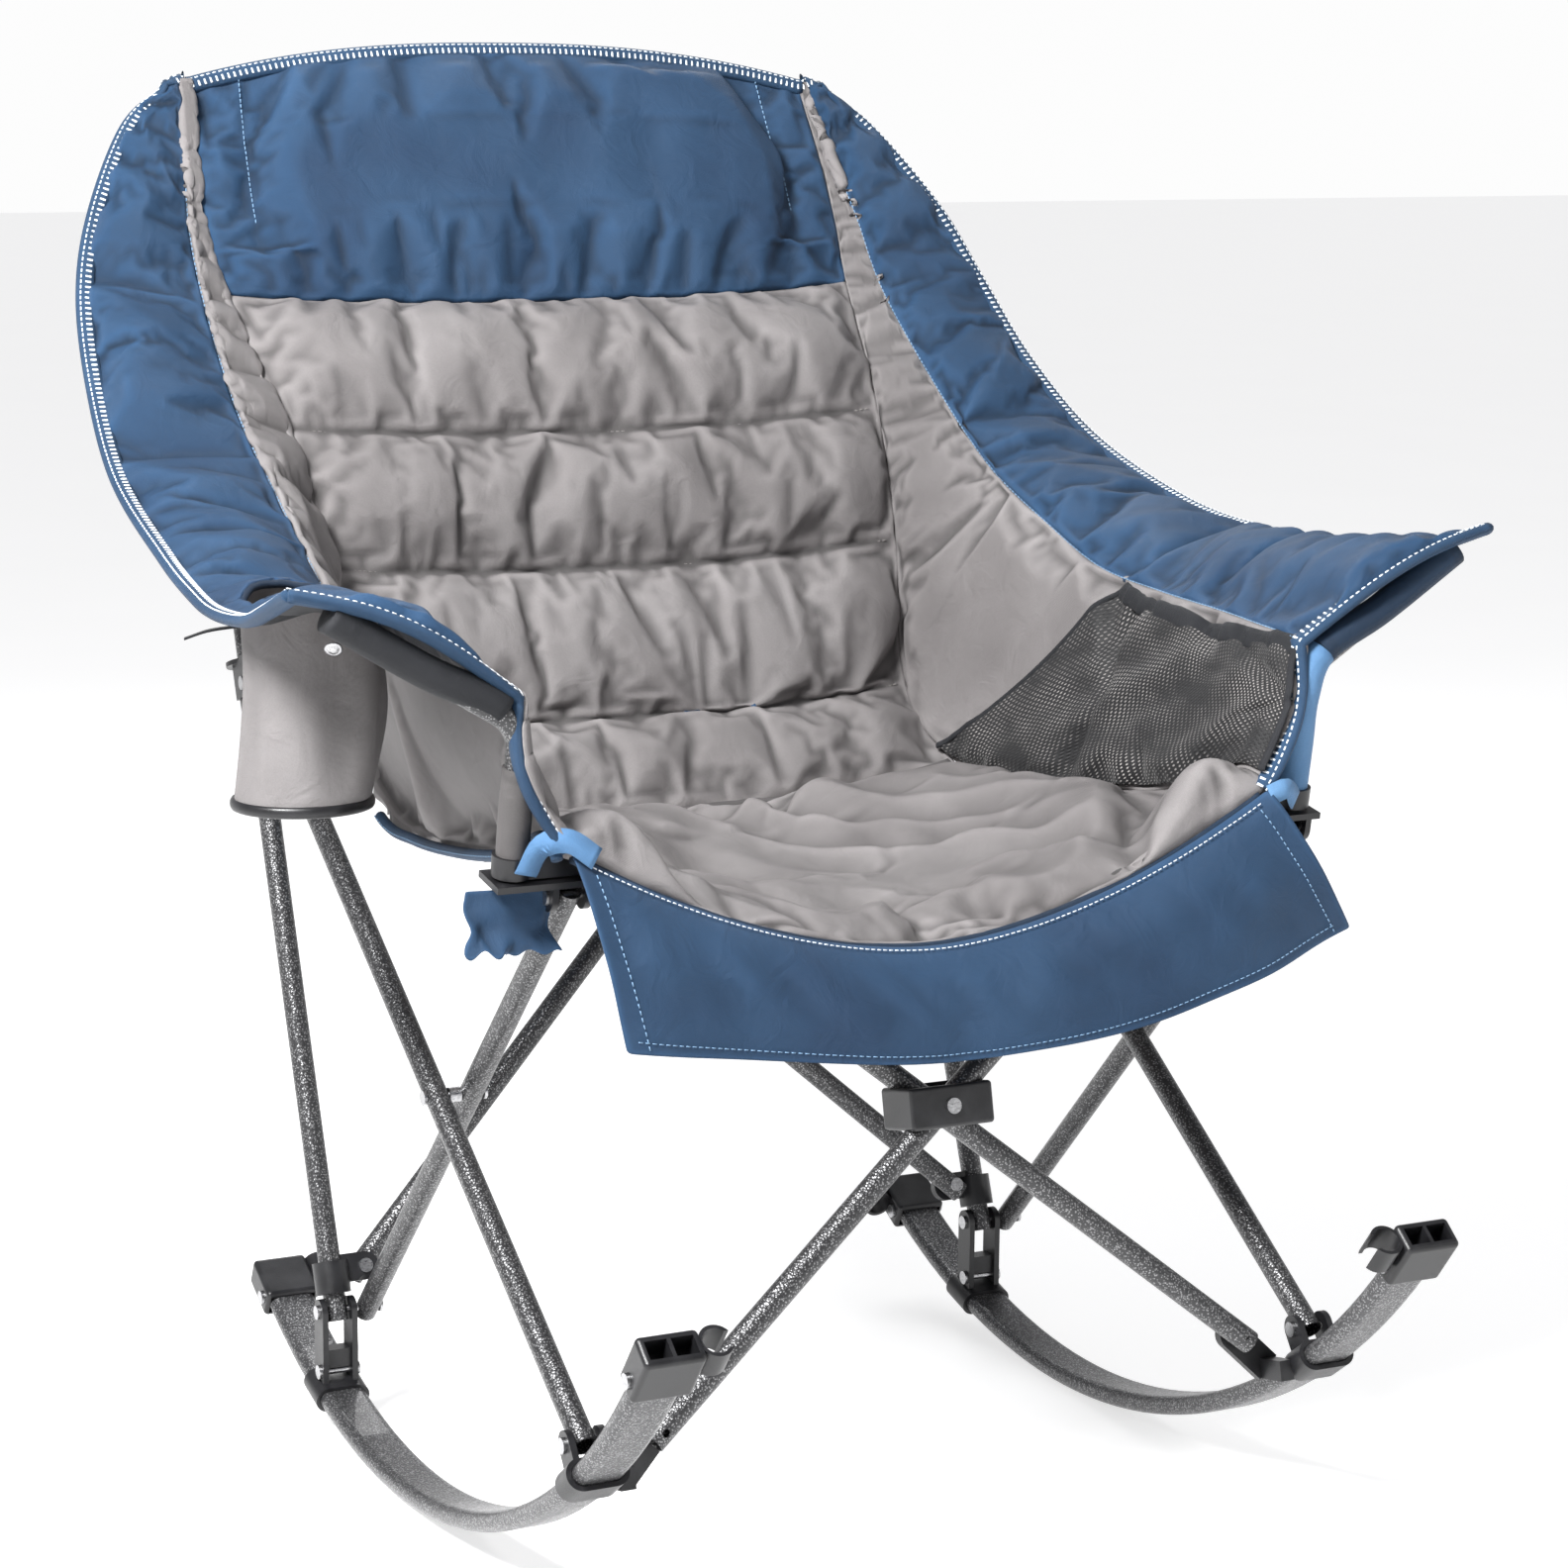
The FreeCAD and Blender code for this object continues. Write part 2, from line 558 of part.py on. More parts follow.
# ---------------------------------------------------------------- one side of the frame
def side_frame(side):
    x = TRACK * (-1 if side == "left" else 1)
    sign = 1 if side == "left" else -1
    leg = dim("leg_offset")
    across = ACROSS * x
    foot, corner, slider = FOOT + across, CORNER + across, SLIDER + across
    leg_shift = ACROSS * leg
    ear = TUBE_R + dim("ear_gap") + dim("ear_thick")
    # post, legs and rail
    tube(side + "_back_post", foot - UP * 9, foot + UP * dim("post_length"), [(foot, ACROSS)])
    cap = cylinder("dims.tube_d / 2 + 1.5", 10.0, foot + UP * (dim("post_length") - 6), UP)
    cap_seat = cylinder("dims.tube_d / 2 + 0.02", 6.0, foot + UP * (dim("post_length") - 6), UP)
    node(side + "_post_cap", cut(cap, [cap_seat]))
    rear_along = (CORNER - FOOT).normalize()
    tube(side + "_rear_leg", foot + leg_shift - rear_along * 9, corner + leg_shift + rear_along * 9,
         [(foot + leg_shift, ACROSS), (CROSSING + across + leg_shift, ACROSS), (corner + leg_shift, ACROSS)])
    front_along = (SLIDER - FRONT_FOOT).normalize()
    tube(side + "_front_leg", FRONT_FOOT + across - front_along * 3.5, slider + front_along * 5,
         [(CROSSING + across, ACROSS)])
    rail_with_holes(side, x)
    rear_foot_bracket(side, x)
    front_foot_bracket(side, x, sign)
    clips = [end_clip(x, sign, tail * dim(end), tail) for tail, end in RAIL_ENDS]
    node(side + "_rail_end_clips", compound(clips, "clips"))
    # collars, corner and arm
    lower_collar(side, x, sign)
    upper_collar(side, x, sign)
    seat_corner_bracket(side)
    arm_post(side)
    arm_slider(side, x, sign)
    # rivets
    low_face = foot - ACROSS * (ear + 0.1)
    pivot_pin = rivet(low_face, foot + leg_shift + ACROSS * (TUBE_R + 0.1))
    node(side + "_post_rivets", compound([pivot_pin, lower_pivot_rivet(x, sign)], "post_rivets"))
    rocker_rivets(side, x)
    spacer_low = CROSSING + across + ACROSS * (TUBE_R + 0.1)
    spacer = cut(cylinder("dims.pin_d", leg - 2 * TUBE_R - 0.2, spacer_low, ACROSS), [pin_hole(spacer_low)])
    pin = rivet(CROSSING + across - ACROSS * (TUBE_R + 0.1), CROSSING + across + leg_shift
                + ACROSS * (TUBE_R + 0.1))
    node(side + "_leg_crossing_rivet", compound([pin, spacer], "crossing"))
    heads = [stub(slider + ACROSS * (s * (ear + 0.1)), ACROSS * s, 4.0) for s in (-1, 1)]
    node(side + "_upper_collar_rivets", compound(heads, "heads"))
    heads = [stub(FRONT_FOOT + across + ACROSS * (s * (ear + 0.1)), ACROSS * s, 4.0) for s in (-1, 1)]
    node(side + "_front_foot_rivets", compound(heads, "heads"))
    corner_face = corner + leg_shift
    node(side + "_seat_corner_rivet",
         rivet(corner_face - ACROSS * (ear + 0.1), corner_face + ACROSS * (ear + 0.1)))


# ---------------------------------------------------------------- cross tubes
def cross_tube(name, low, high, axis, middle):
    along = (high - low).normalize()
    return tube(name, low - along * 10, high + along * 10,
                [(low, axis), (middle, axis), (high, axis)])


def lower_pivot_rivet(x, sign):
    """Holds a rear cross tube's foot: behind the lug on the -X side, in front on the +X side."""
    tube_face = dim("rear_stagger") + TUBE_R + 0.1
    lug_face = dim("lug_thick") / 2 + 0.1
    eye = FOOT + UP * dim("rear_low") + ACROSS * (x + sign * dim("rear_inset"))
    return rivet(eye - OUT * (tube_face * sign), eye + OUT * (lug_face * sign))


def rear_cross():
    reach = TRACK - dim("rear_inset")
    low, high = FOOT + UP * dim("rear_low"), FOOT + UP * dim("rear_high")
    middle = (low + high) * 0.5
    shift = OUT * dim("rear_stagger")
    cross_tube("rear_cross_tube_front", low + ACROSS * reach + shift, high - ACROSS * reach + shift,
               OUT, middle + shift)
    cross_tube("rear_cross_tube_back", low - ACROSS * reach - shift, high + ACROSS * reach - shift,
               OUT, middle - shift)
    face = TUBE_R + dim("rear_stagger") + 0.1
    pin = rivet(middle - OUT * face, middle + OUT * face)
    start = middle - OUT * (dim("rear_stagger") - TUBE_R - 0.1)
    spacer = cut(cylinder("dims.pin_d", 2 * (dim("rear_stagger") - TUBE_R - 0.1), start, OUT),
                 [pin_hole(start, OUT)])
    node("rear_cross_rivet", compound([pin, spacer], "rear_rivet"))


def front_cross():
    reach = TRACK - dim("front_inset")
    shift = CROSS_OUT * dim("front_stagger")
    middle = (FRONT_FOOT + UPPER_PIVOT) * 0.5
    cross_tube("front_cross_tube_front", FRONT_FOOT - ACROSS * reach + shift,
               UPPER_PIVOT + ACROSS * reach + shift, CROSS_OUT, middle + shift)
    cross_tube("front_cross_tube_back", FRONT_FOOT + ACROSS * reach - shift,
               UPPER_PIVOT - ACROSS * reach - shift, CROSS_OUT, middle - shift)
    # hub block: a front and a back plate joined by end walls that clear both tubes
    hub_w, hub_h, hub_d, wall = dim("hub_w"), dim("hub_h"), dim("hub_d"), dim("hub_wall")
    block = fillet_box(box((hub_w, hub_d, hub_h), middle, CROSS_UP, "hub"), 3.0)
    room = box((hub_w - 2 * wall, hub_d - 2 * wall, hub_h + 4), middle, CROSS_UP, "room")
    tools = [room, pin_hole(middle, CROSS_OUT)]
    for sign in (-1, 1):
        low = FRONT_FOOT - ACROSS * (reach * sign) + shift * sign
        high = UPPER_PIVOT + ACROSS * (reach * sign) + shift * sign
        tools.append(cylinder("dims.tube_d / 2 + 0.6", (high - low).Length, low, high - low, "way"))
    node("front_hub", cut(block, tools))
    face = hub_d / 2 + 0.1
    node("front_hub_rivet", rivet(middle - CROSS_OUT * face, middle + CROSS_OUT * face))
    # the upper pivot on the -X slider is a whole rivet
    eye = UPPER_PIVOT - ACROSS * reach
    back = -dim("front_stagger") - TUBE_R - 0.1
    front = arm_lug_offset("left") + dim("lug_thick") / 2 + 0.1
    node("left_arm_slider_rivet", rivet(eye + CROSS_OUT * back, eye + CROSS_OUT * front))


# ---------------------------------------------------------------- covers
def prism(points, low_x, high_x):
    """A closed (y, z) outline, carried across from low_x to high_x."""
    ring = [Vector(low_x, y, z) for y, z in points]
    face = Part.Face(Part.makePolygon(ring + [ring[0]]))
    return face.extrude(Vector(high_x - low_x, 0, 0))


def panel(stations, thick):
    """A padded strip through pairs of edge points, `thick` through."""
    wires = []
    count = len(stations)
    for i, (inner, outer) in enumerate(stations):
        before, after = stations[max(i - 1, 0)], stations[min(i + 1, count - 1)]
        run = (after[0] + after[1]) - (before[0] + before[1])
        normal = (outer - inner).cross(run).normalize() * (thick / 2)
        ring = [inner - normal, outer - normal, outer + normal, inner + normal]
        wires.append(Part.makePolygon(ring + [ring[0]]))
    return Part.makeLoft(wires, True, True)


def both_sides(points, sign):
    return [(Vector(a[0] * sign, a[1], a[2]), Vector(b[0] * sign, b[1], b[2])) for a, b in points]


# front face of the back, from the crease up: (y, z)
BACK_LINE = [(130, 528), (200, 588), (249, 719), (314, 833), (421, 943)]
HEAD_LINE = [(421, 944), (482, 1040), (527, 1128)]

# (inner edge, outer edge) of the wing from the shoulder to the arm, on the +X side
WING = [((324, 528, 1118), (352, 514, 1098)), ((331, 438, 1006), (412, 440, 1010)),
        ((330, 375, 924), (442, 362, 905)), ((334, 285, 847), (458, 258, 826)),
        ((334, 188, 786), (464, 158, 783)), ((340, 94, 744), (474, 60, 757))]
ARM = [((340, 93, 743), (474, 59, 756)), ((345, 0, 718), (484, -60, 742)),
       ((345, -130, 712), (490, -160, 738)), ((350, -230, 712), (497, -230, 748)),
       ((352, -296, 714), (500, -300, 764))]
SIDE = [((300, 468, 1035), (312, 470, 1042)), ((299, 421, 943), (322, 416, 968)),
        ((296, 314, 833), (322, 326, 868)), ((296, 240, 719), (324, 184, 770)),
        ((296, 180, 588), (331, 62, 714)), ((300, 50, 540), (335, -40, 694)),
        ((302, -130, 552), (337, -170, 692)), ((304, -272, 582), (338, -280, 690))]


def offset_line(line, distance):
    """The (y, z) line moved square to itself, to the back."""
    moved = []
    for i, (y, z) in enumerate(line):
        y0, z0 = line[max(i - 1, 0)]
        y1, z1 = line[min(i + 1, len(line) - 1)]
        length = math.hypot(y1 - y0, z1 - z0)
        moved.append((y + (z1 - z0) / length * distance, z - (y1 - y0) / length * distance))
    return moved


SEAT_FRONT = -276.0


def hem_height(share):
    """Height of the seat's front edge, `share` of the way from the middle to a corner."""
    return 486.0 + 88.0 * abs(share) ** 1.8


def covers():
    thick = dim("back_thick")
    back = BACK_LINE + offset_line(BACK_LINE, thick)[::-1]
    feature("back_panel", prism(back, -286.0, 286.0))
    head = HEAD_LINE + offset_line(HEAD_LINE, thick)[::-1]
    feature("headrest_panel", prism(head, -290.0, 290.0))
    for side, sign in (("left", -1), ("right", 1)):
        feature(side + "_wing", panel(both_sides(WING, sign), dim("wing_thick")))
        arm = panel(both_sides(ARM, sign), dim("wing_thick"))
        if side == "left":
            mouth = Part.makeCylinder(dim("cup_r_top") + 1.5, 90, Vector(-dim("cup_x"), dim("cup_y"), 690))
            arm = arm.cut(mouth)
        feature(side + "_arm_cover", arm)
        feature(side + "_side_panel", panel(both_sides(SIDE, sign), dim("side_thick")))
    seat = []
    for share in (-1.0, -0.5, 0.0, 0.5, 1.0):
        rear_z = 526.0 - 16.0 * (1 - share * share)
        front_z = hem_height(share)
        x, deep = 260.0 * share, dim("seat_thick")
        ring = [Vector(x, 122, rear_z), Vector(x, SEAT_FRONT, front_z),
                Vector(x, SEAT_FRONT, front_z - deep), Vector(x, 122, rear_z - deep)]
        seat.append(Part.makePolygon(ring + [ring[0]]))
    feature("seat_pad", Part.makeLoft(seat, True, True))
    skirt = []
    for share in (-1.0, -0.6, 0.0, 0.6, 1.0):
        top = hem_height(share) + 4
        low = 405.0 + 36.0 * abs(share) ** 2
        x, deep = 292.0 * share, dim("skirt_thick")
        ring = [Vector(x, -334, top), Vector(x, -334 - deep, top),
                Vector(x, -362 - deep, low), Vector(x, -362, low)]
        skirt.append(Part.makePolygon(ring + [ring[0]]))
    feature("front_skirt", Part.makeLoft(skirt, True, True))
    pocket = [(-30, 690), (-300, 690), (-300, 596), (-120, 560), (40, 556)]
    feature("mesh_pocket", prism(pocket, 287.0, 290.0))
    cup_holder()


def cup_holder():
    """A tapered fabric cup under the -X arm, with a moulded base."""
    at = Vector(-dim("cup_x"), dim("cup_y"), dim("cup_low"))
    tall = dim("cup_top") - dim("cup_low")
    shell = doc.addObject("Part::Cone", "cup_outer")
    bind(shell, "Radius1", "dims.cup_r_low")
    bind(shell, "Radius2", "dims.cup_r_top")
    bind(shell, "Height", "dims.cup_top - dims.cup_low")
    place(shell, at)
    inner = doc.addObject("Part::Cone", "cup_inner")
    bind(inner, "Radius1", "dims.cup_r_low - dims.cup_wall")
    bind(inner, "Radius2", "dims.cup_r_top - dims.cup_wall")
    inner.Height = tall + 0.02
    place(inner, at - Vector(0, 0, 0.01))
    node("cup_holder", cut(shell, [inner]))
    base = cylinder("dims.cup_r_low + 1.5", 8.0, at - Vector(0, 0, 8.2))
    node("cup_holder_base", base)


# ---------------------------------------------------------------- build, check and write
for frame_side in ("left", "right"):
    side_frame(frame_side)
rear_cross()
front_cross()
covers()
doc.recompute()

failed = [o.Name for o in doc.Objects if "Invalid" in o.State or "Error" in o.State]
if failed:
    raise RuntimeError("objects not computed: " + ", ".join(failed))
for label, item in NODES.items():
    if item.Shape.isNull() or not item.Shape.isValid():
        raise RuntimeError("bad shape: " + label)

os.makedirs("parts", exist_ok=True)
for label, item in NODES.items():
    item.Shape.exportStep("parts/" + label + ".step")
    print(label, "solids", len(item.Shape.Solids), "volume", round(item.Shape.Volume / 1000.0, 1))
print(len(NODES), "nodes")
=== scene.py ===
import json
import math
import bpy
import numpy as np
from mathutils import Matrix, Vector, noise


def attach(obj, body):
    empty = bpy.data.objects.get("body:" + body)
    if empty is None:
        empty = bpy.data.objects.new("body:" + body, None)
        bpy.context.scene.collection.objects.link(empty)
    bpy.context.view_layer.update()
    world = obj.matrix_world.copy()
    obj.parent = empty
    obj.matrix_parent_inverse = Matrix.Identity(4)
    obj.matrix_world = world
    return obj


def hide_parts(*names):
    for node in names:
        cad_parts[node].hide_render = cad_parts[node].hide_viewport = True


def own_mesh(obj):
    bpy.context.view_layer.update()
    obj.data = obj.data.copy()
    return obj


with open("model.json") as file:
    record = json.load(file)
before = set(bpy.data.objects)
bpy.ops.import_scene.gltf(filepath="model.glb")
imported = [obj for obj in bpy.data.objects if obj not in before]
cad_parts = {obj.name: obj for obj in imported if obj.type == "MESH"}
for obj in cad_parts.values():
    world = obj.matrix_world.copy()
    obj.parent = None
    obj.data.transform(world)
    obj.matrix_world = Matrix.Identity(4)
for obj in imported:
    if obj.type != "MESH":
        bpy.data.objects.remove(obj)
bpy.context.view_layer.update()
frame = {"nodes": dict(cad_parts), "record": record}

MM = 0.001
SITTER = np.array([0.0, -300.0, 900.0])     # a point in front of the bucket


# ------------------------------------------------------------------ materials
WEAVE_SCALE = 520.0         # the weave's wave texture, over UVs in metres
NET_SCALE = 73.0


def grey(value):
    return (value, value, value)


class Nodes:
    """A small helper for building one node material."""

    def __init__(self, name, roughness, metallic=0.0, sheen=0.0, coat=0.0, specular=0.5):
        self.mat = bpy.data.materials.new(name)
        self.mat.use_nodes = True
        self.tree = self.mat.node_tree
        self.shader = self.tree.nodes["Principled BSDF"]
        self.shader.inputs["Roughness"].default_value = roughness
        self.shader.inputs["Metallic"].default_value = metallic
        self.shader.inputs["Sheen Weight"].default_value = sheen
        self.shader.inputs["Sheen Roughness"].default_value = 0.45
        self.shader.inputs["Coat Weight"].default_value = coat
        self.shader.inputs["Specular IOR Level"].default_value = specular
        self.where = {}

    def add(self, kind, **values):
        node = self.tree.nodes.new(kind)
        for key, value in values.items():
            if key in node.inputs:
                node.inputs[key].default_value = value
            else:
                setattr(node, key, value)
        return node

    def link(self, source, target):
        self.tree.links.new(source, target)

    def coords(self, kind):
        if kind not in self.where:
            self.where[kind] = self.add("ShaderNodeTexCoord").outputs[kind]
        return self.where[kind]

    def noise(self, scale, detail=3.0, kind="Object", stretch=(1, 1, 1), distortion=0.0):
        mapping = self.add("ShaderNodeMapping")
        mapping.inputs["Scale"].default_value = stretch
        self.link(self.coords(kind), mapping.inputs["Vector"])
        tex = self.add("ShaderNodeTexNoise", Scale=scale, Detail=detail, Distortion=distortion)
        self.link(mapping.outputs[0], tex.inputs["Vector"])
        return tex.outputs["Fac"]

    def wave(self, scale, turn, kind="UV"):
        mapping = self.add("ShaderNodeMapping")
        mapping.inputs["Rotation"].default_value = (0, 0, turn)
        self.link(self.coords(kind), mapping.inputs["Vector"])
        tex = self.add("ShaderNodeTexWave", Scale=scale, Distortion=0.4)
        tex.inputs["Detail Scale"].default_value = 2.0
        self.link(mapping.outputs[0], tex.inputs["Vector"])
        return tex.outputs["Fac"]

    def voronoi(self, scale, kind="Object"):
        tex = self.add("ShaderNodeTexVoronoi", Scale=scale)
        self.link(self.coords(kind), tex.inputs["Vector"])
        return tex.outputs["Distance"]

    def math(self, operation, a, b):
        node = self.add("ShaderNodeMath", operation=operation)
        for socket, value in zip(node.inputs, (a, b)):
            if isinstance(value, (int, float)):
                socket.default_value = value
            else:
                self.link(value, socket)
        return node.outputs[0]

    def ramp(self, fac, stops):
        node = self.add("ShaderNodeValToRGB")
        ramp = node.color_ramp
        while len(ramp.elements) < len(stops):
            ramp.elements.new(0.5)
        for element, (at, colour) in zip(ramp.elements, stops):
            element.position = at
            element.color = (*colour, 1.0)
        self.link(fac, node.inputs["Fac"])
        return node.outputs["Color"]

    def mix(self, fac, a, b, blend="MIX"):
        node = self.add("ShaderNodeMix", data_type="RGBA", blend_type=blend)
        for socket, value in zip((node.inputs[0], node.inputs[6], node.inputs[7]), (fac, a, b)):
            if isinstance(value, (int, float)):
                socket.default_value = value
            elif isinstance(value, tuple):
                socket.default_value = (*value, 1.0)
            else:
                self.link(value, socket)
        return node.outputs[2]

    def colour(self, source):
        self.link(source, self.shader.inputs["Base Color"])
        return self

    def rough(self, source, low, high):
        node = self.add("ShaderNodeMapRange")
        node.inputs["To Min"].default_value = low
        node.inputs["To Max"].default_value = high
        self.link(source, node.inputs["Value"])
        self.link(node.outputs[0], self.shader.inputs["Roughness"])
        return self

    def bump(self, height, distance, strength=1.0, after=None):
        node = self.add("ShaderNodeBump", Strength=strength, Distance=distance)
        self.link(height, node.inputs["Height"])
        if after is not None:
            self.link(after, node.inputs["Normal"])
        self.link(node.outputs[0], self.shader.inputs["Normal"])
        return node.outputs[0]


def cloth_material(name, dark, mid, light, sheen=0.03, with_painted_fold_shade=True):
    """Woven polyester: crossed threads, soft creases, an uneven dye, and painted shade in the concave dips of
    folds with a painted highlight on their crowns.
    """
    m = Nodes(name, 0.56, sheen=sheen, specular=0.28)
    broad = m.noise(7.0, 4.0)
    fine = m.noise(900.0, 2.0)
    shade = m.ramp(broad, [(0.3, dark), (0.52, mid), (0.75, light)])
    threads = m.math("ADD", m.wave(WEAVE_SCALE, 0.0), m.wave(WEAVE_SCALE, math.pi / 2))
    fleck = m.ramp(m.math("MULTIPLY", threads, fine), [(0.1, grey(0.86)), (0.9, grey(1.12))])
    woven = m.mix(1.0, shade, fleck, "MULTIPLY")
    if with_painted_fold_shade:
        # painted shade and highlight: pointiness darkens concave folds and lightens convex ones
        folds = m.add("ShaderNodeNewGeometry").outputs["Pointiness"]
        painted_fold_shade_and_highlight = m.ramp(folds, [(0.465, grey(0.42)), (0.5, grey(0.9)), (0.53, grey(1.18))])
        woven = m.mix(1.0, woven, painted_fold_shade_and_highlight, "MULTIPLY")
    m.colour(woven)
    m.rough(fine, 0.44, 0.66)
    crease = m.bump(m.noise(30.0, 5.0, distortion=1.2), 0.0032, 0.6)
    m.bump(threads, 0.00022, 0.6, crease)
    return m.mat


def speckled_material(name, dark, light, metallic, roughness):
    """Hammered powder coat: small blisters over a dark ground."""
    m = Nodes(name, roughness, metallic=metallic, coat=0.25)
    cells = m.voronoi(520.0)
    cloud = m.noise(260.0, 3.0)
    fac = m.math("MULTIPLY", cells, m.math("ADD", cloud, 0.6))
    m.colour(m.ramp(fac, [(0.12, light), (0.5, dark)]))
    m.rough(cloud, roughness - 0.1, roughness + 0.14)
    m.bump(fac, 0.0005, 0.8)
    return m.mat


def plastic_material(name, dark, light, roughness):
    """Moulded nylon with a faint grain and scuffed high spots."""
    m = Nodes(name, roughness, specular=0.5)
    scuff = m.noise(60.0, 5.0)
    grain = m.noise(1500.0, 2.0)
    m.colour(m.ramp(scuff, [(0.35, dark), (0.75, light)]))
    m.rough(scuff, roughness - 0.08, roughness + 0.12)
    m.bump(grain, 0.0002, 0.5)
    return m.mat


def rivet_material():
    m = Nodes("rivet_steel", 0.3, metallic=1.0)
    scratch = m.noise(420.0, 4.0, stretch=(1, 6, 1))
    m.colour(m.ramp(scratch, [(0.3, (0.3, 0.3, 0.31)), (0.7, (0.62, 0.62, 0.63))]))
    m.rough(scratch, 0.2, 0.42)
    m.bump(scratch, 0.0002, 0.4)
    return m.mat


def thread_material(name, low, high):
    """Twisted thread, lighter on its crowns."""
    m = Nodes(name, 0.6, sheen=0.2)
    twist = m.noise(2500.0, 2.0)
    m.colour(m.ramp(twist, [(0.3, low), (0.7, high)]))
    m.bump(twist, 0.0003, 0.6)
    return m.mat


def net_material():
    """Black knitted net: small diamond holes, through which the pale lining shows in broad patches."""
    m = Nodes("pocket_net", 0.7, sheen=0.1)
    slant = math.radians(33)
    bars = m.math("MULTIPLY", m.wave(NET_SCALE, slant), m.wave(NET_SCALE, -slant))
    holes = m.ramp(bars, [(0.5, grey(0.0)), (0.68, grey(1.0))])
    shows = m.noise(16.0, 3.0, stretch=(1, 1, 2))
    patches = m.ramp(shows, [(0.38, (0.012, 0.012, 0.013)), (0.68, (0.34, 0.32, 0.31))])
    m.colour(m.mix(holes, (0.007, 0.007, 0.008), patches))
    m.bump(bars, 0.0008, 0.8)
    return m.mat


BLUE = cloth_material("blue_cloth", (0.013, 0.038, 0.086), (0.018, 0.052, 0.112), (0.026, 0.068, 0.142))
GREY = cloth_material("grey_cloth", (0.150, 0.140, 0.140), (0.195, 0.183, 0.183), (0.245, 0.232, 0.232))
DARK = cloth_material("dark_lining", (0.008, 0.009, 0.011), (0.013, 0.014, 0.017), (0.022, 0.023, 0.027),
                      with_painted_fold_shade=False)
BINDING = cloth_material("binding_tape", (0.013, 0.038, 0.082), (0.018, 0.050, 0.104), (0.026, 0.066, 0.134),
                         with_painted_fold_shade=False)
PALE_BLUE = cloth_material("pale_blue_cloth", (0.07, 0.17, 0.33), (0.1, 0.22, 0.4), (0.13, 0.27, 0.47),
                           with_painted_fold_shade=False)
NET = net_material()
FRAME = speckled_material("frame_coat", (0.045, 0.045, 0.047), (0.3, 0.3, 0.305), 0.6, 0.33)
RAIL = speckled_material("rail_coat", (0.065, 0.065, 0.068), (0.34, 0.34, 0.345), 0.65, 0.36)
PLASTIC = plastic_material("black_nylon", (0.006, 0.006, 0.007), (0.016, 0.016, 0.018), 0.34)
RIVET = rivet_material()
WHITE_THREAD = thread_material("white_thread", (0.5, 0.56, 0.62), (0.85, 0.88, 0.9))
BLUE_THREAD = thread_material("blue_thread", (0.1, 0.2, 0.34), (0.2, 0.34, 0.5))
GREY_THREAD = thread_material("grey_thread", (0.16, 0.15, 0.145), (0.24, 0.225, 0.215))

SLOT_MATERIAL = {"frame_tube": FRAME, "rail": RAIL, "moulding": PLASTIC, "rivet": RIVET,
                 "blue_cloth": BLUE, "grey_cloth": GREY, "mesh": NET}
slot_of = {row["node"]: row["material_slot"] for row in frame["record"]["subparts"]}
for node_name, node in frame["nodes"].items():
    node.data.materials.clear()
    node.data.materials.append(SLOT_MATERIAL[slot_of[node_name]])


# ------------------------------------------------------------------ mesh helpers
def add_mesh(name, points, faces, mat, uvs=None, smooth=True):
    """A mesh object from points in millimetres."""
    mesh = bpy.data.meshes.new(name)
    mesh.from_pydata([tuple(p) for p in np.asarray(points) * MM], [], [tuple(f) for f in faces])
    mesh.materials.append(mat)
    if uvs is not None:
        layer = mesh.uv_layers.new(name="cloth")
        loops = np.empty(len(mesh.loops), int)
        mesh.loops.foreach_get("vertex_index", loops)
        layer.data.foreach_set("uv", np.asarray(uvs)[loops].astype(np.float32).ravel())
    mesh.polygons.foreach_set("use_smooth", [smooth] * len(mesh.polygons))
    mesh.update()
    obj = bpy.data.objects.new(name, mesh)
    bpy.context.scene.collection.objects.link(obj)
    return obj


def grid_faces(rows, cols, keep=None):
    faces = []
    for r in range(rows - 1):
        for c in range(cols - 1):
            if keep is None or keep[r, c]:
                a = r * cols + c
                faces.append((a, a + 1, a + cols + 1, a + cols))
    return faces


def grid_uvs(points):
    """Distances along the cloth in metres, so that the weave keeps one scale."""
    across = np.linalg.norm(np.diff(points, axis=1), axis=2).mean(axis=0)
    down = np.linalg.norm(np.diff(points, axis=0), axis=2).mean(axis=1)
    u = np.concatenate([[0], np.cumsum(across)]) * MM
    v = np.concatenate([[0], np.cumsum(down)]) * MM
    uu, vv = np.meshgrid(u, v)
    return np.stack([uu, vv], axis=2).reshape(-1, 2)


def modify(obj, kind, **values):
    mod = obj.modifiers.new(kind.lower(), kind)
    for key, value in values.items():
        setattr(mod, key, value)
    return mod


def apply_modifiers(obj):
    bpy.context.view_layer.update()
    evaluated = obj.evaluated_get(bpy.context.evaluated_depsgraph_get())
    mesh = bpy.data.meshes.new_from_object(evaluated)
    obj.modifiers.clear()
    obj.data = mesh
    return obj


def spline(points, count):
    """A Catmull-Rom curve through the points, with `count` cells in each span."""
    pts = np.asarray(points, float)
    padded = np.vstack([2 * pts[0] - pts[1], pts, 2 * pts[-1] - pts[-2]])
    out = []
    for i, cells in enumerate(count):
        p0, p1, p2, p3 = padded[i:i + 4]
        for k in range(cells):
            t = k / cells
            out.append(0.5 * (2 * p1 + (p2 - p0) * t + (2 * p0 - 5 * p1 + 4 * p2 - p3) * t ** 2
                              + (3 * p1 - p0 - 3 * p2 + p3) * t ** 3))
    out.append(pts[-1])
    return np.array(out)


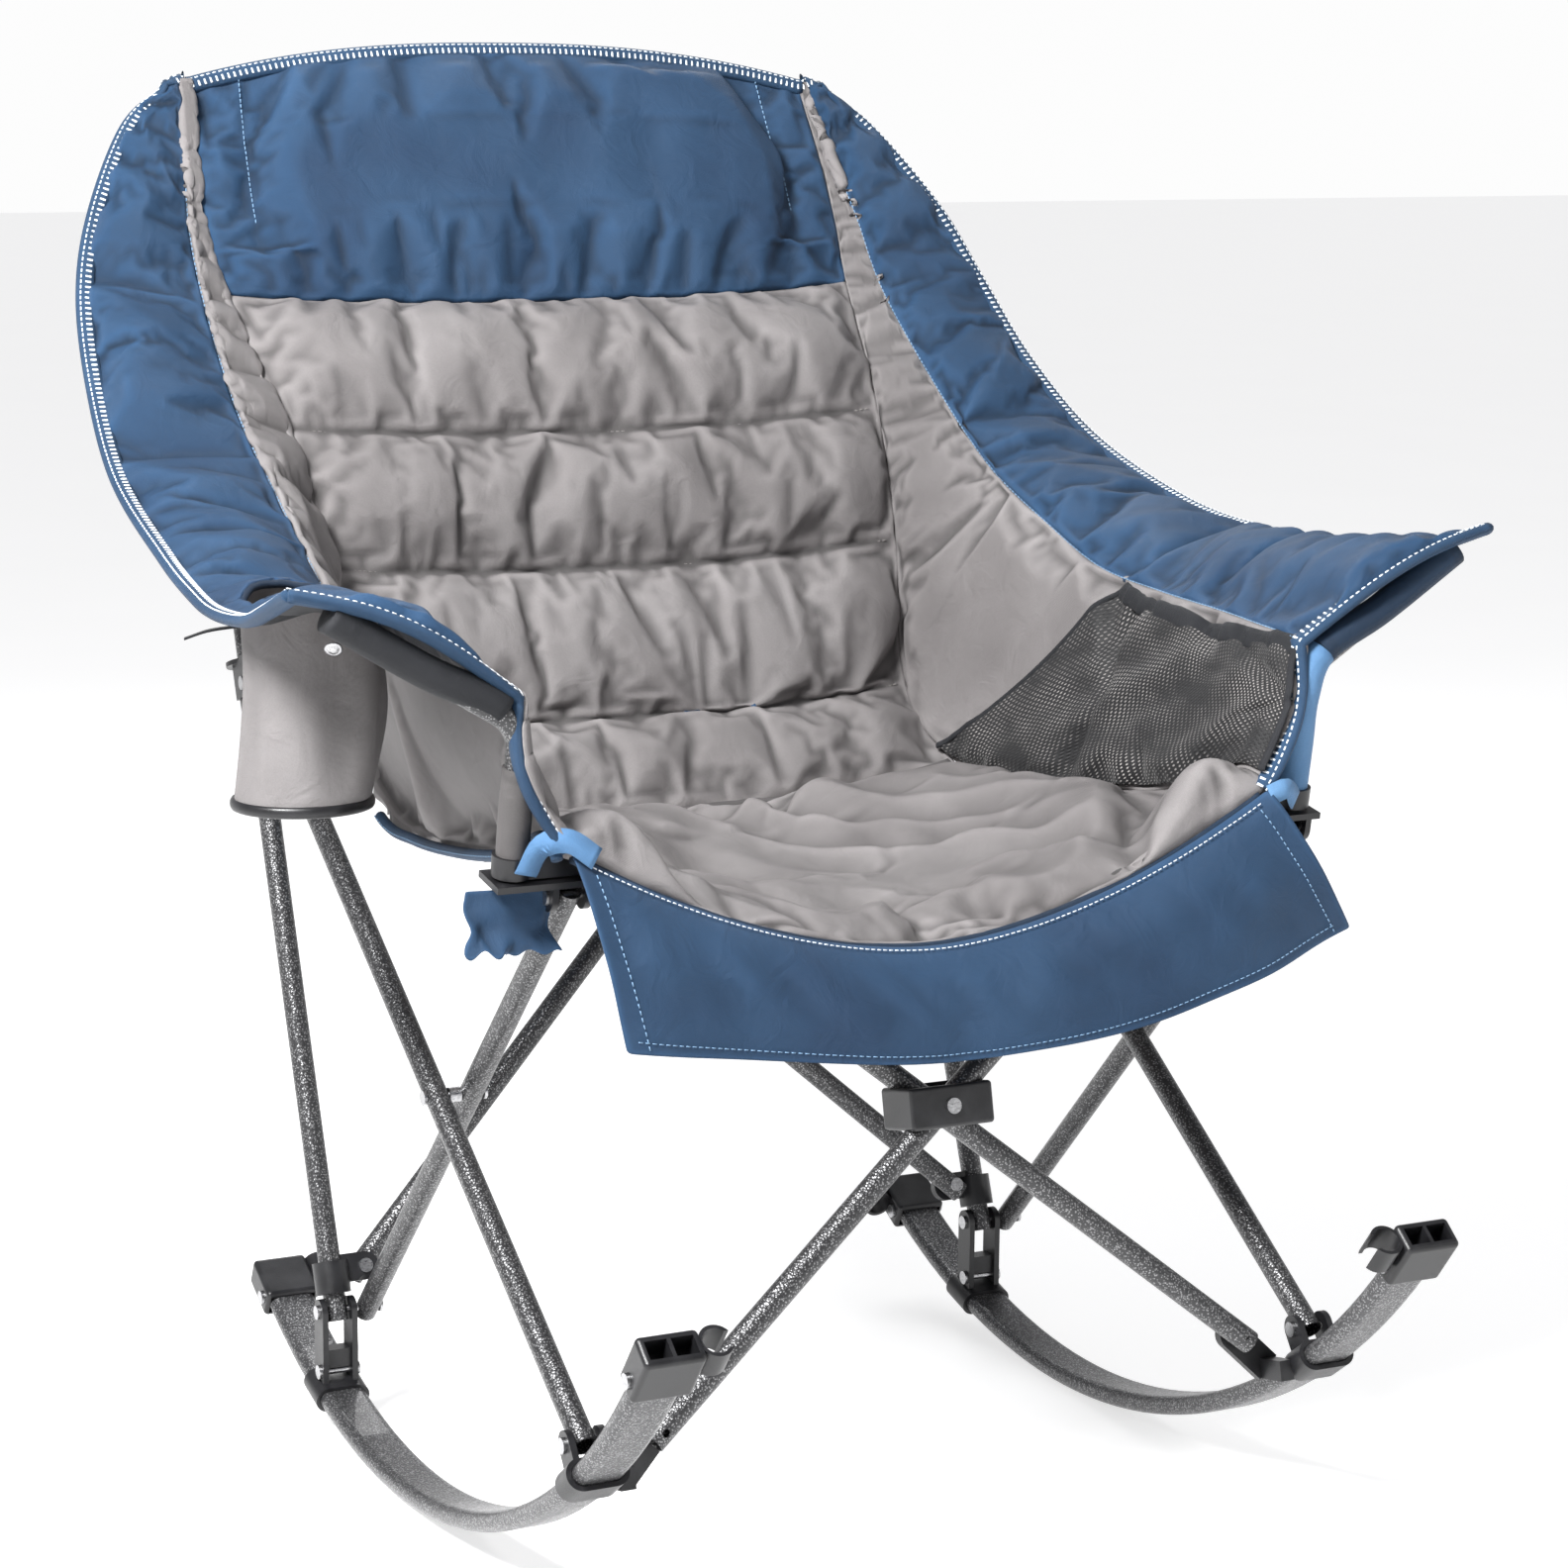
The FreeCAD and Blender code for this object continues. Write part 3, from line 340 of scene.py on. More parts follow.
def resample(line, step):
    """The line cut into even steps of about `step`; returns points and unit tangents."""
    line = np.asarray(line, float)
    lengths = np.concatenate([[0], np.cumsum(np.linalg.norm(np.diff(line, axis=0), axis=1))])
    count = max(2, int(round(lengths[-1] / step)))
    at = np.linspace(0, lengths[-1], count + 1)
    pts = np.stack([np.interp(at, lengths, line[:, k]) for k in range(3)], axis=1)
    tangent = np.gradient(pts, axis=0)
    return pts, tangent / np.linalg.norm(tangent, axis=1)[:, None]


def sweep(name, line, profile, up, mat, step=6.0, closed=True):
    """A strip or tube: profile points (across, up) carried along a line; up is one vector per point."""
    pts, tangent = resample(line, step)
    ups = spread(up, line, len(pts))
    side = np.cross(tangent, ups)
    side /= np.linalg.norm(side, axis=1)[:, None]
    ups = np.cross(side, tangent)
    prof = np.asarray(profile, float)
    n = len(prof)
    rings = pts[:, None] + side[:, None] * prof[None, :, 0, None] + ups[:, None] * prof[None, :, 1, None]
    faces = []
    for r in range(len(pts) - 1):
        for c in range(n if closed else n - 1):
            d = (c + 1) % n
            faces.append((r * n + c, r * n + d, (r + 1) * n + d, (r + 1) * n + c))
    if closed:
        faces.append(tuple(range(n - 1, -1, -1)))
        faces.append(tuple((len(pts) - 1) * n + c for c in range(n)))
    along = np.arange(len(pts)) * step * MM
    round_about = np.concatenate([[0], np.cumsum(np.linalg.norm(np.diff(prof, axis=0), axis=1))]) * MM
    uvs = np.stack(np.meshgrid(round_about, along), axis=2).reshape(-1, 2)
    return add_mesh(name, rings.reshape(-1, 3), faces, mat, uvs)


def spread(up, line, count):
    """One up vector for each resampled point, matched by distance along the line."""
    if np.ndim(up) == 1:
        return np.tile(np.asarray(up, float), (count, 1))
    gone = np.concatenate([[0], np.cumsum(np.linalg.norm(np.diff(line, axis=0), axis=1))])
    at = np.linspace(0, 1, count)
    return np.stack([np.interp(at, gone / gone[-1], up[:, k]) for k in range(3)], axis=1)


def oval(half_wide, half_high, count=12):
    turn = np.linspace(0, 2 * np.pi, count, endpoint=False)
    return np.stack([np.cos(turn) * half_wide, np.sin(turn) * half_high], axis=1)


def stitches(name, line, across, up, length, width, pitch, mat, along=False, lift=0.0):
    """Short raised stitches, laid across the line, or along it."""
    pts, tangent = resample(line, pitch)
    count = len(pts)
    ups = spread(up, line, count)
    side = np.cross(tangent, ups)
    side /= np.linalg.norm(side, axis=1)[:, None]
    ups = np.cross(side, tangent)
    long, short = (tangent, side) if along else (side, tangent)
    shape = [(-1, -0.5, 0), (-1, 0.5, 0), (1, 0.5, 0), (1, -0.5, 0),
             (-0.8, -0.3, 1), (-0.8, 0.3, 1), (0.8, 0.3, 1), (0.8, -0.3, 1)]
    quads = [(0, 1, 5, 4), (1, 2, 6, 5), (2, 3, 7, 6), (3, 0, 4, 7), (4, 5, 6, 7)]
    points, faces = [], []
    for i in range(count - 1):
        middle = pts[i] + side[i] * across + ups[i] * lift
        base = len(points)
        for a, b, h in shape:
            points.append(middle + long[i] * (a * length / 2) + short[i] * (b * width) + ups[i] * (h * 0.8))
        faces += [tuple(base + k for k in q) for q in quads]
    return add_mesh(name, points, faces, mat)


# ------------------------------------------------------------------ the bucket
# Each station has the outer edge, the blue-and-grey seam, the back's edge and the centre line (mm, +X side).
STATIONS = [
    ((320, 512, 1120), (303, 512, 1125), (299, 512, 1126), (0, 522, 1158)),
    ((364, 492, 1087), (316, 476, 1062), (306, 480, 1060), (0, 478, 1075)),
    ((411, 440, 1012), (326, 440, 1003), (309, 450, 998), (0, 437, 1003)),
    ((435, 396, 945), (329, 390, 935), (304, 417, 943), (0, 396, 933)),
    ((449, 322, 870), (334, 290, 850), (285, 314, 833), (0, 308, 821)),
    ((461, 215, 803), (334, 188, 786), (271, 249, 719), (0, 266, 704)),
    ((470, 60, 757), (340, 94, 744), (265, 218, 592), (0, 200, 581)),
    ((484, -60, 742), (345, 10, 714), (266, 122, 533), (0, 130, 510)),
    ((490, -130, 737), (345, -90, 704), (272, 20, 530), (0, 20, 478)),
    ((495, -215, 742), (341, -200, 699), (285, -120, 545), (0, -120, 460)),
    ((499, -275, 756), (336, -275, 694), (291, -235, 563), (0, -240, 462)),
    ((500, -332, 774), (328, -326, 690), (296, -332, 578), (0, -330, 481)),
]
ROW_CELLS = [16, 14, 14, 24, 21, 24, 17, 19, 22, 18, 14]
ROW_AT = np.concatenate([[0], np.cumsum(ROW_CELLS)])
QUILT_STATIONS = (3, 4, 5, 6)       # where the back's four quilted channels start
STITCH_END, HEADREST_END, ARM_START, CREASE, FRONT = (ROW_AT[k] for k in (2, 3, 6, 7, 11))
CENTRE_CELLS, SIDE_CELLS, WING_CELLS = 46, 28, 24
OUTER, SEAM, EDGE, MIDDLE = (spline([s[k] for s in STATIONS], ROW_CELLS) for k in range(4))
ROWS = len(OUTER)
COLS = 2 * (CENTRE_CELLS + SIDE_CELLS + WING_CELLS) + 1
COL_SEAM, COL_EDGE = WING_CELLS, WING_CELLS + SIDE_CELLS
COL_MIDDLE = COL_EDGE + CENTRE_CELLS
STITCH_COL = 39                     # cells from the centre line to the headrest's upright stitching
TUBE_TOP = (248.0, -300.0)          # the seat rises over the front cross tubes' tops here


def smooth_step(x):
    x = np.clip(x, 0, 1)
    return x * x * (3 - 2 * x)


def bucket_grid():
    """The bare sheet, one row at a time from the -X edge to the +X edge."""
    grid = np.zeros((ROWS, COLS, 3))
    for r in range(ROWS):
        outer, seam, edge, middle = OUTER[r], SEAM[r], EDGE[r], MIDDLE[r]
        half = []
        t = np.linspace(0, 1, WING_CELLS + 1)[:, None]
        front = smooth_step((r - ARM_START) / (FRONT - ARM_START))
        arch = np.sin(np.pi * t) * np.array([0.0, -10.0 * front, 6 + 10.0 * front])
        half.append(outer + (seam - outer) * t + arch)
        t = np.linspace(0, 1, SIDE_CELLS + 1)[1:, None]
        hollow = np.sin(np.pi * t) * np.array([8.0 * front + 6.0, 0, 0])
        half.append(seam + (edge - seam) * t + hollow)
        t = np.linspace(1, 0, CENTRE_CELLS + 1)[1:]
        seat = smooth_step((r - CREASE) / 30.0)
        power = 2.4 - 0.6 * seat
        strip = np.zeros((CENTRE_CELLS, 3))
        strip[:, 0] = edge[0] * t
        strip[:, 1:] = middle[1:] + (edge[1:] - middle[1:]) * (t ** power)[:, None]
        half.append(strip)
        right = np.vstack(half)
        beside, before = (right[:, 0] - TUBE_TOP[0]) / 48.0, (right[:, 1] - TUBE_TOP[1]) / 40.0
        right[:, 2] += 42.0 * np.exp(-beside ** 2 - before ** 2) * (r < ROWS - 1)
        left = right * np.array([-1, 1, 1])
        grid[r] = np.vstack([left, right[:-1][::-1]])
    return grid


def normals_of(grid):
    across = np.gradient(grid, axis=1)
    down = np.gradient(grid, axis=0)
    n = np.cross(across, down)
    n /= np.maximum(np.linalg.norm(n, axis=2), 1e-9)[..., None]
    middle = grid[ROWS // 2, COL_MIDDLE]
    if np.dot(n[ROWS // 2, COL_MIDDLE], SITTER - middle) < 0:
        n = -n
    return n


def pinned_mask():
    """Sewn lines: every seam, the outer binding, the hem and the two rows of stitching on the headrest."""
    pin = np.zeros((ROWS, COLS))
    pin[0, :] = pin[-1, :] = 1
    pin[:, 0] = pin[:, -1] = 1
    for col in (COL_SEAM, COL_EDGE, COLS - 1 - COL_SEAM, COLS - 1 - COL_EDGE):
        pin[:, col] = 1
    for row in [ROW_AT[k] for k in QUILT_STATIONS] + [CREASE]:
        pin[row, COL_EDGE:COLS - COL_EDGE] = 1
    for sign in (-1, 1):
        pin[:STITCH_END + 1, COL_MIDDLE + sign * STITCH_COL] = 1
    return pin


def sewn_span(row):
    """The padded span that a row lies in: the station before it, and the span's first and last row."""
    k = min(int(np.searchsorted(ROW_AT, row, side="right") - 1), len(ROW_CELLS) - 1)
    if k in QUILT_STATIONS:
        return k, ROW_AT[k], ROW_AT[k + 1]
    return (k, 0, HEADREST_END) if row < HEADREST_END else (k, CREASE, FRONT)


def puff(grid, normals, pin):
    """A first swelling between the sewn lines, so that the cloth starts to one side."""
    lift = np.zeros((ROWS, COLS))
    for r in range(ROWS):
        k, first, last = sewn_span(r)
        t = (r - first) / (last - first)
        if k in QUILT_STATIONS:
            height, power = 15, 0.7
        else:
            height, power = (20 if r < HEADREST_END else 12), 0.6
        lift[r, COL_EDGE:COLS - COL_EDGE] = height * np.sin(np.pi * t) ** power
    across = np.zeros(COLS)
    u = np.linspace(-1, 1, COLS - 2 * COL_EDGE)
    across[COL_EDGE:COLS - COL_EDGE] = (1 - np.abs(u) ** 8)
    lift *= across[None, :]
    for col in (COL_MIDDLE - STITCH_COL, COL_MIDDLE + STITCH_COL):
        groove = np.clip(np.abs(np.arange(COLS) - col) / 9.0, 0, 1)
        lift[:STITCH_END + 6] *= smooth_step(groove)[None, :]
    for first, last in ((0, COL_SEAM), (COL_SEAM, COL_EDGE)):
        t = np.sin(np.pi * np.linspace(0, 1, last - first + 1)) ** 0.7
        height = 9.0 if first == 0 else 6.0
        lift[:, first:last + 1] = np.maximum(lift[:, first:last + 1], height * t)
        lift[:, COLS - 1 - last:COLS - first] = np.maximum(lift[:, COLS - 1 - last:COLS - first], height * t)
    for r in range(ROWS):
        for c in range(COLS):
            p = Vector(grid[r, c]) * 0.02
            lift[r, c] += 2.2 * noise.noise(p) * (1 - pin[r, c])
    lift *= 1 - pin
    return grid + normals * lift[..., None]


CLOTH_FRAMES = 24
CLOTH_PRESSURE = 3.2
CLOTH_GROWTH = 0.085        # share by which the cloth stretches past its bare shape
CLOTH_STIFFNESS = 12.0
SWELL_LIMIT = 30.0          # most that any point may rise


def run_cloth(obj, pins):
    """Blender's cloth with the sewn lines held, then left on the mesh as plain shape."""
    group = obj.vertex_groups.new(name="sewn")
    for i in np.nonzero(pins > 0)[0]:
        group.add([int(i)], float(pins[i]), "REPLACE")
    mod = modify(obj, "CLOTH")
    cloth = mod.settings
    cloth.quality = 6
    cloth.mass = 0.15
    cloth.tension_stiffness = cloth.compression_stiffness = CLOTH_STIFFNESS
    cloth.shear_stiffness = 4.0
    cloth.bending_stiffness = 0.2
    cloth.tension_damping = cloth.compression_damping = 6.0
    cloth.bending_damping = 0.6
    cloth.air_damping = 2.0
    cloth.vertex_group_mass = "sewn"
    cloth.pin_stiffness = 50.0
    cloth.shrink_min = -CLOTH_GROWTH
    cloth.use_pressure = True
    cloth.uniform_pressure_force = CLOTH_PRESSURE
    cloth.effector_weights.gravity = 0.0
    mod.collision_settings.use_collision = False
    mod.point_cache.frame_start = 1
    mod.point_cache.frame_end = CLOTH_FRAMES
    for f in range(1, CLOTH_FRAMES + 1):
        bpy.context.scene.frame_set(f)
    apply_modifiers(obj)
    bpy.context.scene.frame_set(1)
    return np.array([v.co for v in obj.data.vertices]) / MM


def swelling_limit(base):
    """How far each point may swell: little beside the bound edges and in the narrow side strips."""
    limit = np.full((ROWS, COLS), SWELL_LIMIT)
    width = np.linalg.norm(base[:, COL_SEAM] - base[:, COL_EDGE], axis=1)
    strip = np.clip(0.2 * width, 1.5, 13.0)[:, None]
    limit[:, COL_SEAM:COL_EDGE + 1] = strip
    limit[:, COLS - COL_EDGE - 1:COLS - COL_SEAM] = strip
    for cells in range(6):
        rise = 0.5 + 3.0 * max(0, cells - 1)
        limit[:, cells] = np.minimum(limit[:, cells], rise)
        limit[:, -1 - cells] = np.minimum(limit[:, -1 - cells], rise)
        limit[cells] = np.minimum(limit[cells], rise)
    return limit


def quilt_profile():
    """Steeper shoulders beside each quilted seam of the back, the seam pulled in, and creases all over."""
    extra = np.zeros((ROWS, COLS))
    u = np.linspace(-1, 1, COLS - 2 * COL_EDGE)
    across = 1 - np.abs(u) ** 10
    for k in QUILT_STATIONS:
        t = np.linspace(0, 1, ROW_CELLS[k] + 1)
        shoulder = 9.0 * np.sin(np.pi * t) ** 0.45 - 3.0
        extra[ROW_AT[k]:ROW_AT[k + 1] + 1, COL_EDGE:COLS - COL_EDGE] = shoulder[:, None] * across
    for r in range(1, ROWS - 1):
        k, first, last = sewn_span(r)
        on_seat = r >= CREASE
        held = math.sin(math.pi * (r - first) / (last - first)) ** 0.5
        for c in range(COLS):
            if COL_EDGE <= c < COLS - COL_EDGE:
                fold = noise.noise(Vector((c * 0.14 + r * 0.02, r * 0.045, 7.0 + k)))
                if on_seat:
                    crease = abs(noise.noise(Vector((c * 0.085 - r * 0.05, r * 0.03 + c * 0.02, 2.0))))
                    fold = fold * 0.8 + 0.45 - 2.2 * crease
                height = (13.0 if on_seat else 4.5) * across[c - COL_EDGE] * held
            else:
                c0 = min(c, COLS - 1 - c)
                fold = noise.noise(Vector((r * 0.17 + c0 * 0.05, c0 * 0.06, 5.0 if c < COL_MIDDLE else 8.0)))
                height = 4.5 * math.sin(math.pi * c0 / COL_SEAM) if c0 < COL_SEAM else 0.0
            extra[r, c] += fold * height
    return extra


def bucket_cloth():
    """The bare sheet, the sheet once swollen by the cloth solver and quilted, and its normals."""
    base = bucket_grid()
    normals = normals_of(base)
    pin = pinned_mask()
    start = puff(base, normals, pin)
    flip = np.dot(np.cross(start[0, 1] - start[0, 0], start[1, 0] - start[0, 0]), normals[0, 0]) < 0
    faces = grid_faces(ROWS, COLS)
    if flip:
        faces = [f[::-1] for f in faces]
    sheet = add_mesh("cloth_run", start.reshape(-1, 3), faces, GREY)
    moved = run_cloth(sheet, pin.ravel()).reshape(ROWS, COLS, 3)
    bpy.data.objects.remove(sheet)
    shift = moved - base
    out = np.sum(shift * normals, axis=2)
    flat = shift - normals * out[..., None]
    limit = swelling_limit(base)
    out = np.clip(out, -0.4 * limit, limit) + quilt_profile()
    size = np.linalg.norm(flat, axis=2)
    flat *= np.minimum(1, np.minimum(9.0, limit) / np.maximum(size, 1e-9))[..., None]
    return base, base + normals * out[..., None] + flat, normals


BASE, CLOTH, NORMALS = bucket_cloth()


def panel(name, rows, cols, thick, front, behind, keep=None):
    """One sewn panel cut from the sheet, with its lining."""
    part = CLOTH[rows[0]:rows[1] + 1, cols[0]:cols[1] + 1]
    n_rows, n_cols = part.shape[:2]
    faces = grid_faces(n_rows, n_cols, keep)
    normal = NORMALS[rows[0]:rows[1] + 1, cols[0]:cols[1] + 1]
    a, b, c = part[0, 0], part[0, 1], part[1, 0]
    if np.dot(np.cross(b - a, c - a), normal[0, 0]) < 0:
        faces = [f[::-1] for f in faces]
    obj = add_mesh(name, part.reshape(-1, 3), faces, front, grid_uvs(part))
    obj.data.materials.append(behind)
    modify(obj, "SUBSURF", levels=1, render_levels=1)
    modify(obj, "SOLIDIFY", thickness=thick * MM, offset=-1.0, material_offset=1, material_offset_rim=0)
    return apply_modifiers(obj)


LAST = COLS - 1
CENTRE_COLS = (COL_EDGE, LAST - COL_EDGE)
PANELS = [
    ("headrest_cover", (0, HEADREST_END), CENTRE_COLS, 12, BLUE, BLUE),
    ("back_quilt", (HEADREST_END, CREASE), CENTRE_COLS, 8, GREY, BLUE),
    ("seat_quilt", (CREASE, FRONT), CENTRE_COLS, 12, GREY, GREY),
    ("left_side_lining", (0, FRONT), (COL_SEAM, COL_EDGE), 6, GREY, GREY),
    ("right_side_lining", (0, FRONT), (LAST - COL_EDGE, LAST - COL_SEAM), 6, GREY, GREY),
]
pieces = {row[0]: panel(*row) for row in PANELS}
CUP = np.array([-418.0, -133.0])
CUP_HOLE = 51.0                     # radius of the opening in the arm
CUP_FLOOR_Z = 593.0
CUP_LEAN = np.array([-9.0, -4.0])   # from the opening to the floor


def wing(name, cols, hole):
    """The blue side with its arm. One arm has the cup's opening, and the cloth there is drawn to a circle."""
    keep = None
    if hole:
        part = CLOTH[:, cols[0]:cols[1] + 1]
        reach = np.linalg.norm(part[..., :2] - CUP, axis=2)
        on_arm = (part[..., 2] < 800) & (part[..., 1] < 60)
        near = on_arm & (np.abs(reach - CUP_HOLE) < 4.5)
        circle = CUP + (part[..., :2] - CUP) * (CUP_HOLE / np.maximum(reach, 1))[..., None]
        part[..., :2] = np.where(near[..., None], circle, part[..., :2])
        middle = (part[:-1, :-1] + part[1:, 1:]) / 2
        inside = np.linalg.norm(middle[..., :2] - CUP, axis=2) < CUP_HOLE
        keep = ~(inside & on_arm[:-1, :-1])
    return panel(name, (0, FRONT), cols, 4, BLUE, DARK, keep)


pieces["left_wing_cloth"] = wing("left_wing_cloth", (0, COL_SEAM), True)
pieces["right_wing_cloth"] = wing("right_wing_cloth", (LAST - COL_SEAM, LAST), False)


# ------------------------------------------------------------------ edges, seams and stitching
def on_sheet(rows, cols):
    """The cloth's points and normals along a row or a column."""
    strip = (slice(rows[0], rows[1] + 1), slice(cols[0], cols[1] + 1))
    return CLOTH[strip].reshape(-1, 3), NORMALS[strip].reshape(-1, 3)


def side_of(name, col):
    """A column of the -X half, or its mirror image in the +X half."""
    return LAST - col if name == "right" else col


def bind_edge(name, line, ups, inward):
    """Folded tape over the cloth's edge, with a ladder of white stitches on its face."""
    tape = sweep(name + "_binding", line, oval(8.0, 5.0) + [inward * 3.0, -0.8], ups, BINDING, 5.0)
    ladder = stitches(name + "_ladder", line, inward * 5.0, ups, 5.4, 2.0, 5.8, WHITE_THREAD, lift=3.7)
    rail = stitches(name + "_edge_thread", line, inward * -1.0, ups, 3.6, 1.3, 5.8, WHITE_THREAD,
                    along=True, lift=3.3)
    return [tape, ladder, rail]


binding = {}
for side in ("left", "right"):
    outer, edge = side_of(side, 0), side_of(side, COL_EDGE)
    inward = 1 if side == "left" else -1
    line, ups = on_sheet((0, FRONT), (outer, outer))
    binding[side + "_arm_edge"] = bind_edge(side + "_arm_edge", line, ups, -inward)
    line, ups = on_sheet((FRONT, FRONT), sorted((outer, edge)))
    binding[side + "_front_edge"] = bind_edge(side + "_front_edge", line, ups, -1)
binding["top_edge"] = bind_edge("top_edge", *on_sheet((0, 0), (0, LAST)), 1)
seam_threads = []
for side in ("left", "right"):
    col = side_of(side, COL_SEAM)
    line, ups = on_sheet((2, FRONT - 2), (col, col))
    seam_threads.append(stitches(side + "_seam_thread", line + ups * 0.6, 0, ups, 3.4, 0.9, 5.0, BLUE_THREAD,
                                 along=True))
ACROSS_BACK = (COL_EDGE + 1, LAST - COL_EDGE - 1)
quilt_threads = []
for k in QUILT_STATIONS[1:]:
    line, ups = on_sheet((ROW_AT[k], ROW_AT[k]), ACROSS_BACK)
    quilt_threads.append(stitches(f"quilt_thread_{k}", line, 0, ups, 3.6, 0.9, 5.2, GREY_THREAD,
                                  along=True, lift=0.6))
crease, crease_ups = on_sheet((CREASE, CREASE), ACROSS_BACK)
quilt_threads.append(sweep("seat_crease_roll", crease, oval(7.0, 5.0), crease_ups, GREY, 5.0))
head_threads = []
for sign, name in ((-1, "headrest_stitch_left"), (1, "headrest_stitch_right")):
    col = COL_MIDDLE + sign * STITCH_COL
    line, ups = on_sheet((1, STITCH_END), (col, col))
    head_threads.append(stitches(name, line, 0, ups, 3.6, 1.0, 5.2, BLUE_THREAD, along=True, lift=0.6))


# ------------------------------------------------------------------ front skirt
def hem(share):
    """The seat's front edge, as a point for each share of the half width."""
    return np.array([296.0 * share, -335.0, 481.0 + 97.0 * abs(share) ** 1.8])


def skirt():
    """The flap: straight from the hem down to its own lower edge, then waved and bellied forward."""
    cols, rows = 121, 31
    top = np.array([hem(s) for s in np.linspace(-0.99, 1.0, cols)])
    low = spline([(-266, -366, 434), (-149, -372, 416), (-34, -376, 403), (51, -376, 401), (165, -372, 410),
                  (272, -362, 434), (372, -340, 462)], [20] * 6)
    grid = np.zeros((rows, cols, 3))
    for r in range(rows):
        t = r / (rows - 1)
        line = top + (low - top) * t
        line[:, 1] -= 12.0 * math.sin(math.pi * t ** 0.7)
        for c in range(cols):
            wave = noise.noise(Vector((c * 0.055, t * 0.5, 3.0))) * 10.0 * t
            fine = noise.noise(Vector((c * 0.16, t * 2.4, 9.0))) * 4.0 * math.sin(math.pi * t)
            line[c, 1] -= wave + fine
        grid[r] = line
    obj = add_mesh("front_skirt_cloth", grid.reshape(-1, 3), grid_faces(rows, cols), BLUE, grid_uvs(grid))
    modify(obj, "SUBSURF", levels=1, render_levels=1)
    modify(obj, "SOLIDIFY", thickness=1.4 * MM, offset=0.0)
    apply_modifiers(obj)
    forward = np.array([0.0, -1.0, 0.15])
    runs = (("skirt_hem_stitch", grid[rows - 3][2:-2]), ("skirt_end_stitch_left", grid[2:, 3]),
            ("skirt_end_stitch_right", grid[2:, -4]))
    threads = [stitches(name, run, 0, forward, 3.4, 0.8, 5.4, BLUE_THREAD, along=True, lift=0.9)
               for name, run in runs]
    return obj, threads, grid


SKIRT, SKIRT_THREADS, SKIRT_GRID = skirt()
hem_line = CLOTH[-1, COL_EDGE + 1:LAST - COL_EDGE]
hem_roll = sweep("seat_front_roll", hem_line, oval(4.6, 4.2) + [0.0, -2.6], np.array([0.0, -0.5, 1.0]),
                 BLUE, 5.0)
hem_stitch = stitches("seat_front_stitch", SKIRT_GRID[1][2:-2] + [0, -1.0, 1.5], 0,
                      np.array([0.0, -1.0, 0.3]), 3.2, 0.9, 5.0, WHITE_THREAD, along=True, lift=1.0)


# ------------------------------------------------------------------ mesh pocket on the +X side
def pocket():
    """Laid over the lining: t runs from the elastic down to the seat, r from the rear to the front."""
    down, along = 41, 71
    grid = np.zeros((down, along, 3))
    for j in range(along):
        r = j / (along - 1)
        for i in range(down):
            t = i / (down - 1)
            rear = CREASE + 9 - 13 * t ** 1.6
            row = rear + (ROWS - 2 - rear) * r
            sag = 0.05 + 0.075 * math.sin(math.pi * min(1.0, r * 1.15))
            col = LAST - COL_SEAM - SIDE_CELLS * (sag + (0.985 - sag) * t)
            r0, c0 = int(row), int(col)
            fr, fc = row - r0, col - c0
            corners = [(r0, c0, (1 - fr) * (1 - fc)), (r0 + 1, c0, fr * (1 - fc)),
                       (r0, c0 + 1, (1 - fr) * fc), (r0 + 1, c0 + 1, fr * fc)]
            p = sum(CLOTH[a, b] * w for a, b, w in corners)
            n = sum(NORMALS[a, b] * w for a, b, w in corners)
            full = math.sin(math.pi * t) ** 0.7 * math.sin(math.pi * r) ** 0.5
            fold = noise.noise(Vector((r * 5.0 + t * 2.0, t * 1.2, 5.0))) * 9.0 * full
            grid[i, j] = p + n * max(2.5, 3.5 + 9.0 * full + fold)
    net = add_mesh("pocket_net", grid.reshape(-1, 3), grid_faces(down, along), NET, grid_uvs(grid))
    modify(net, "SUBSURF", levels=1, render_levels=1)
    modify(net, "SOLIDIFY", thickness=1.0 * MM, offset=0.0)
    apply_modifiers(net)
    up = np.array([-0.9, 0.0, 0.4])
    band = sweep("pocket_elastic", grid[0], oval(8.5, 2.4), up, DARK, 4.0)
    trim = [sweep("pocket_trim_front", grid[:, -1], oval(4.0, 2.2), up, DARK, 4.0),
            sweep("pocket_trim_rear", grid[:, 0], oval(3.0, 2.0), up, DARK, 4.0)]
    return net, [band] + trim


NET_PIECE, NET_TRIM = pocket()


# ------------------------------------------------------------------ cup holder under the -X arm
def arm_height(x, y):
    """Height of the arm's underside, at the cloth nearest to a point."""
    near = np.linalg.norm(CLOTH[..., :2] - np.array([x, y]), axis=2) + (CLOTH[..., 2] > 800) * 1e3
    return CLOTH[..., 2].flat[np.argmin(near)] - 4.0


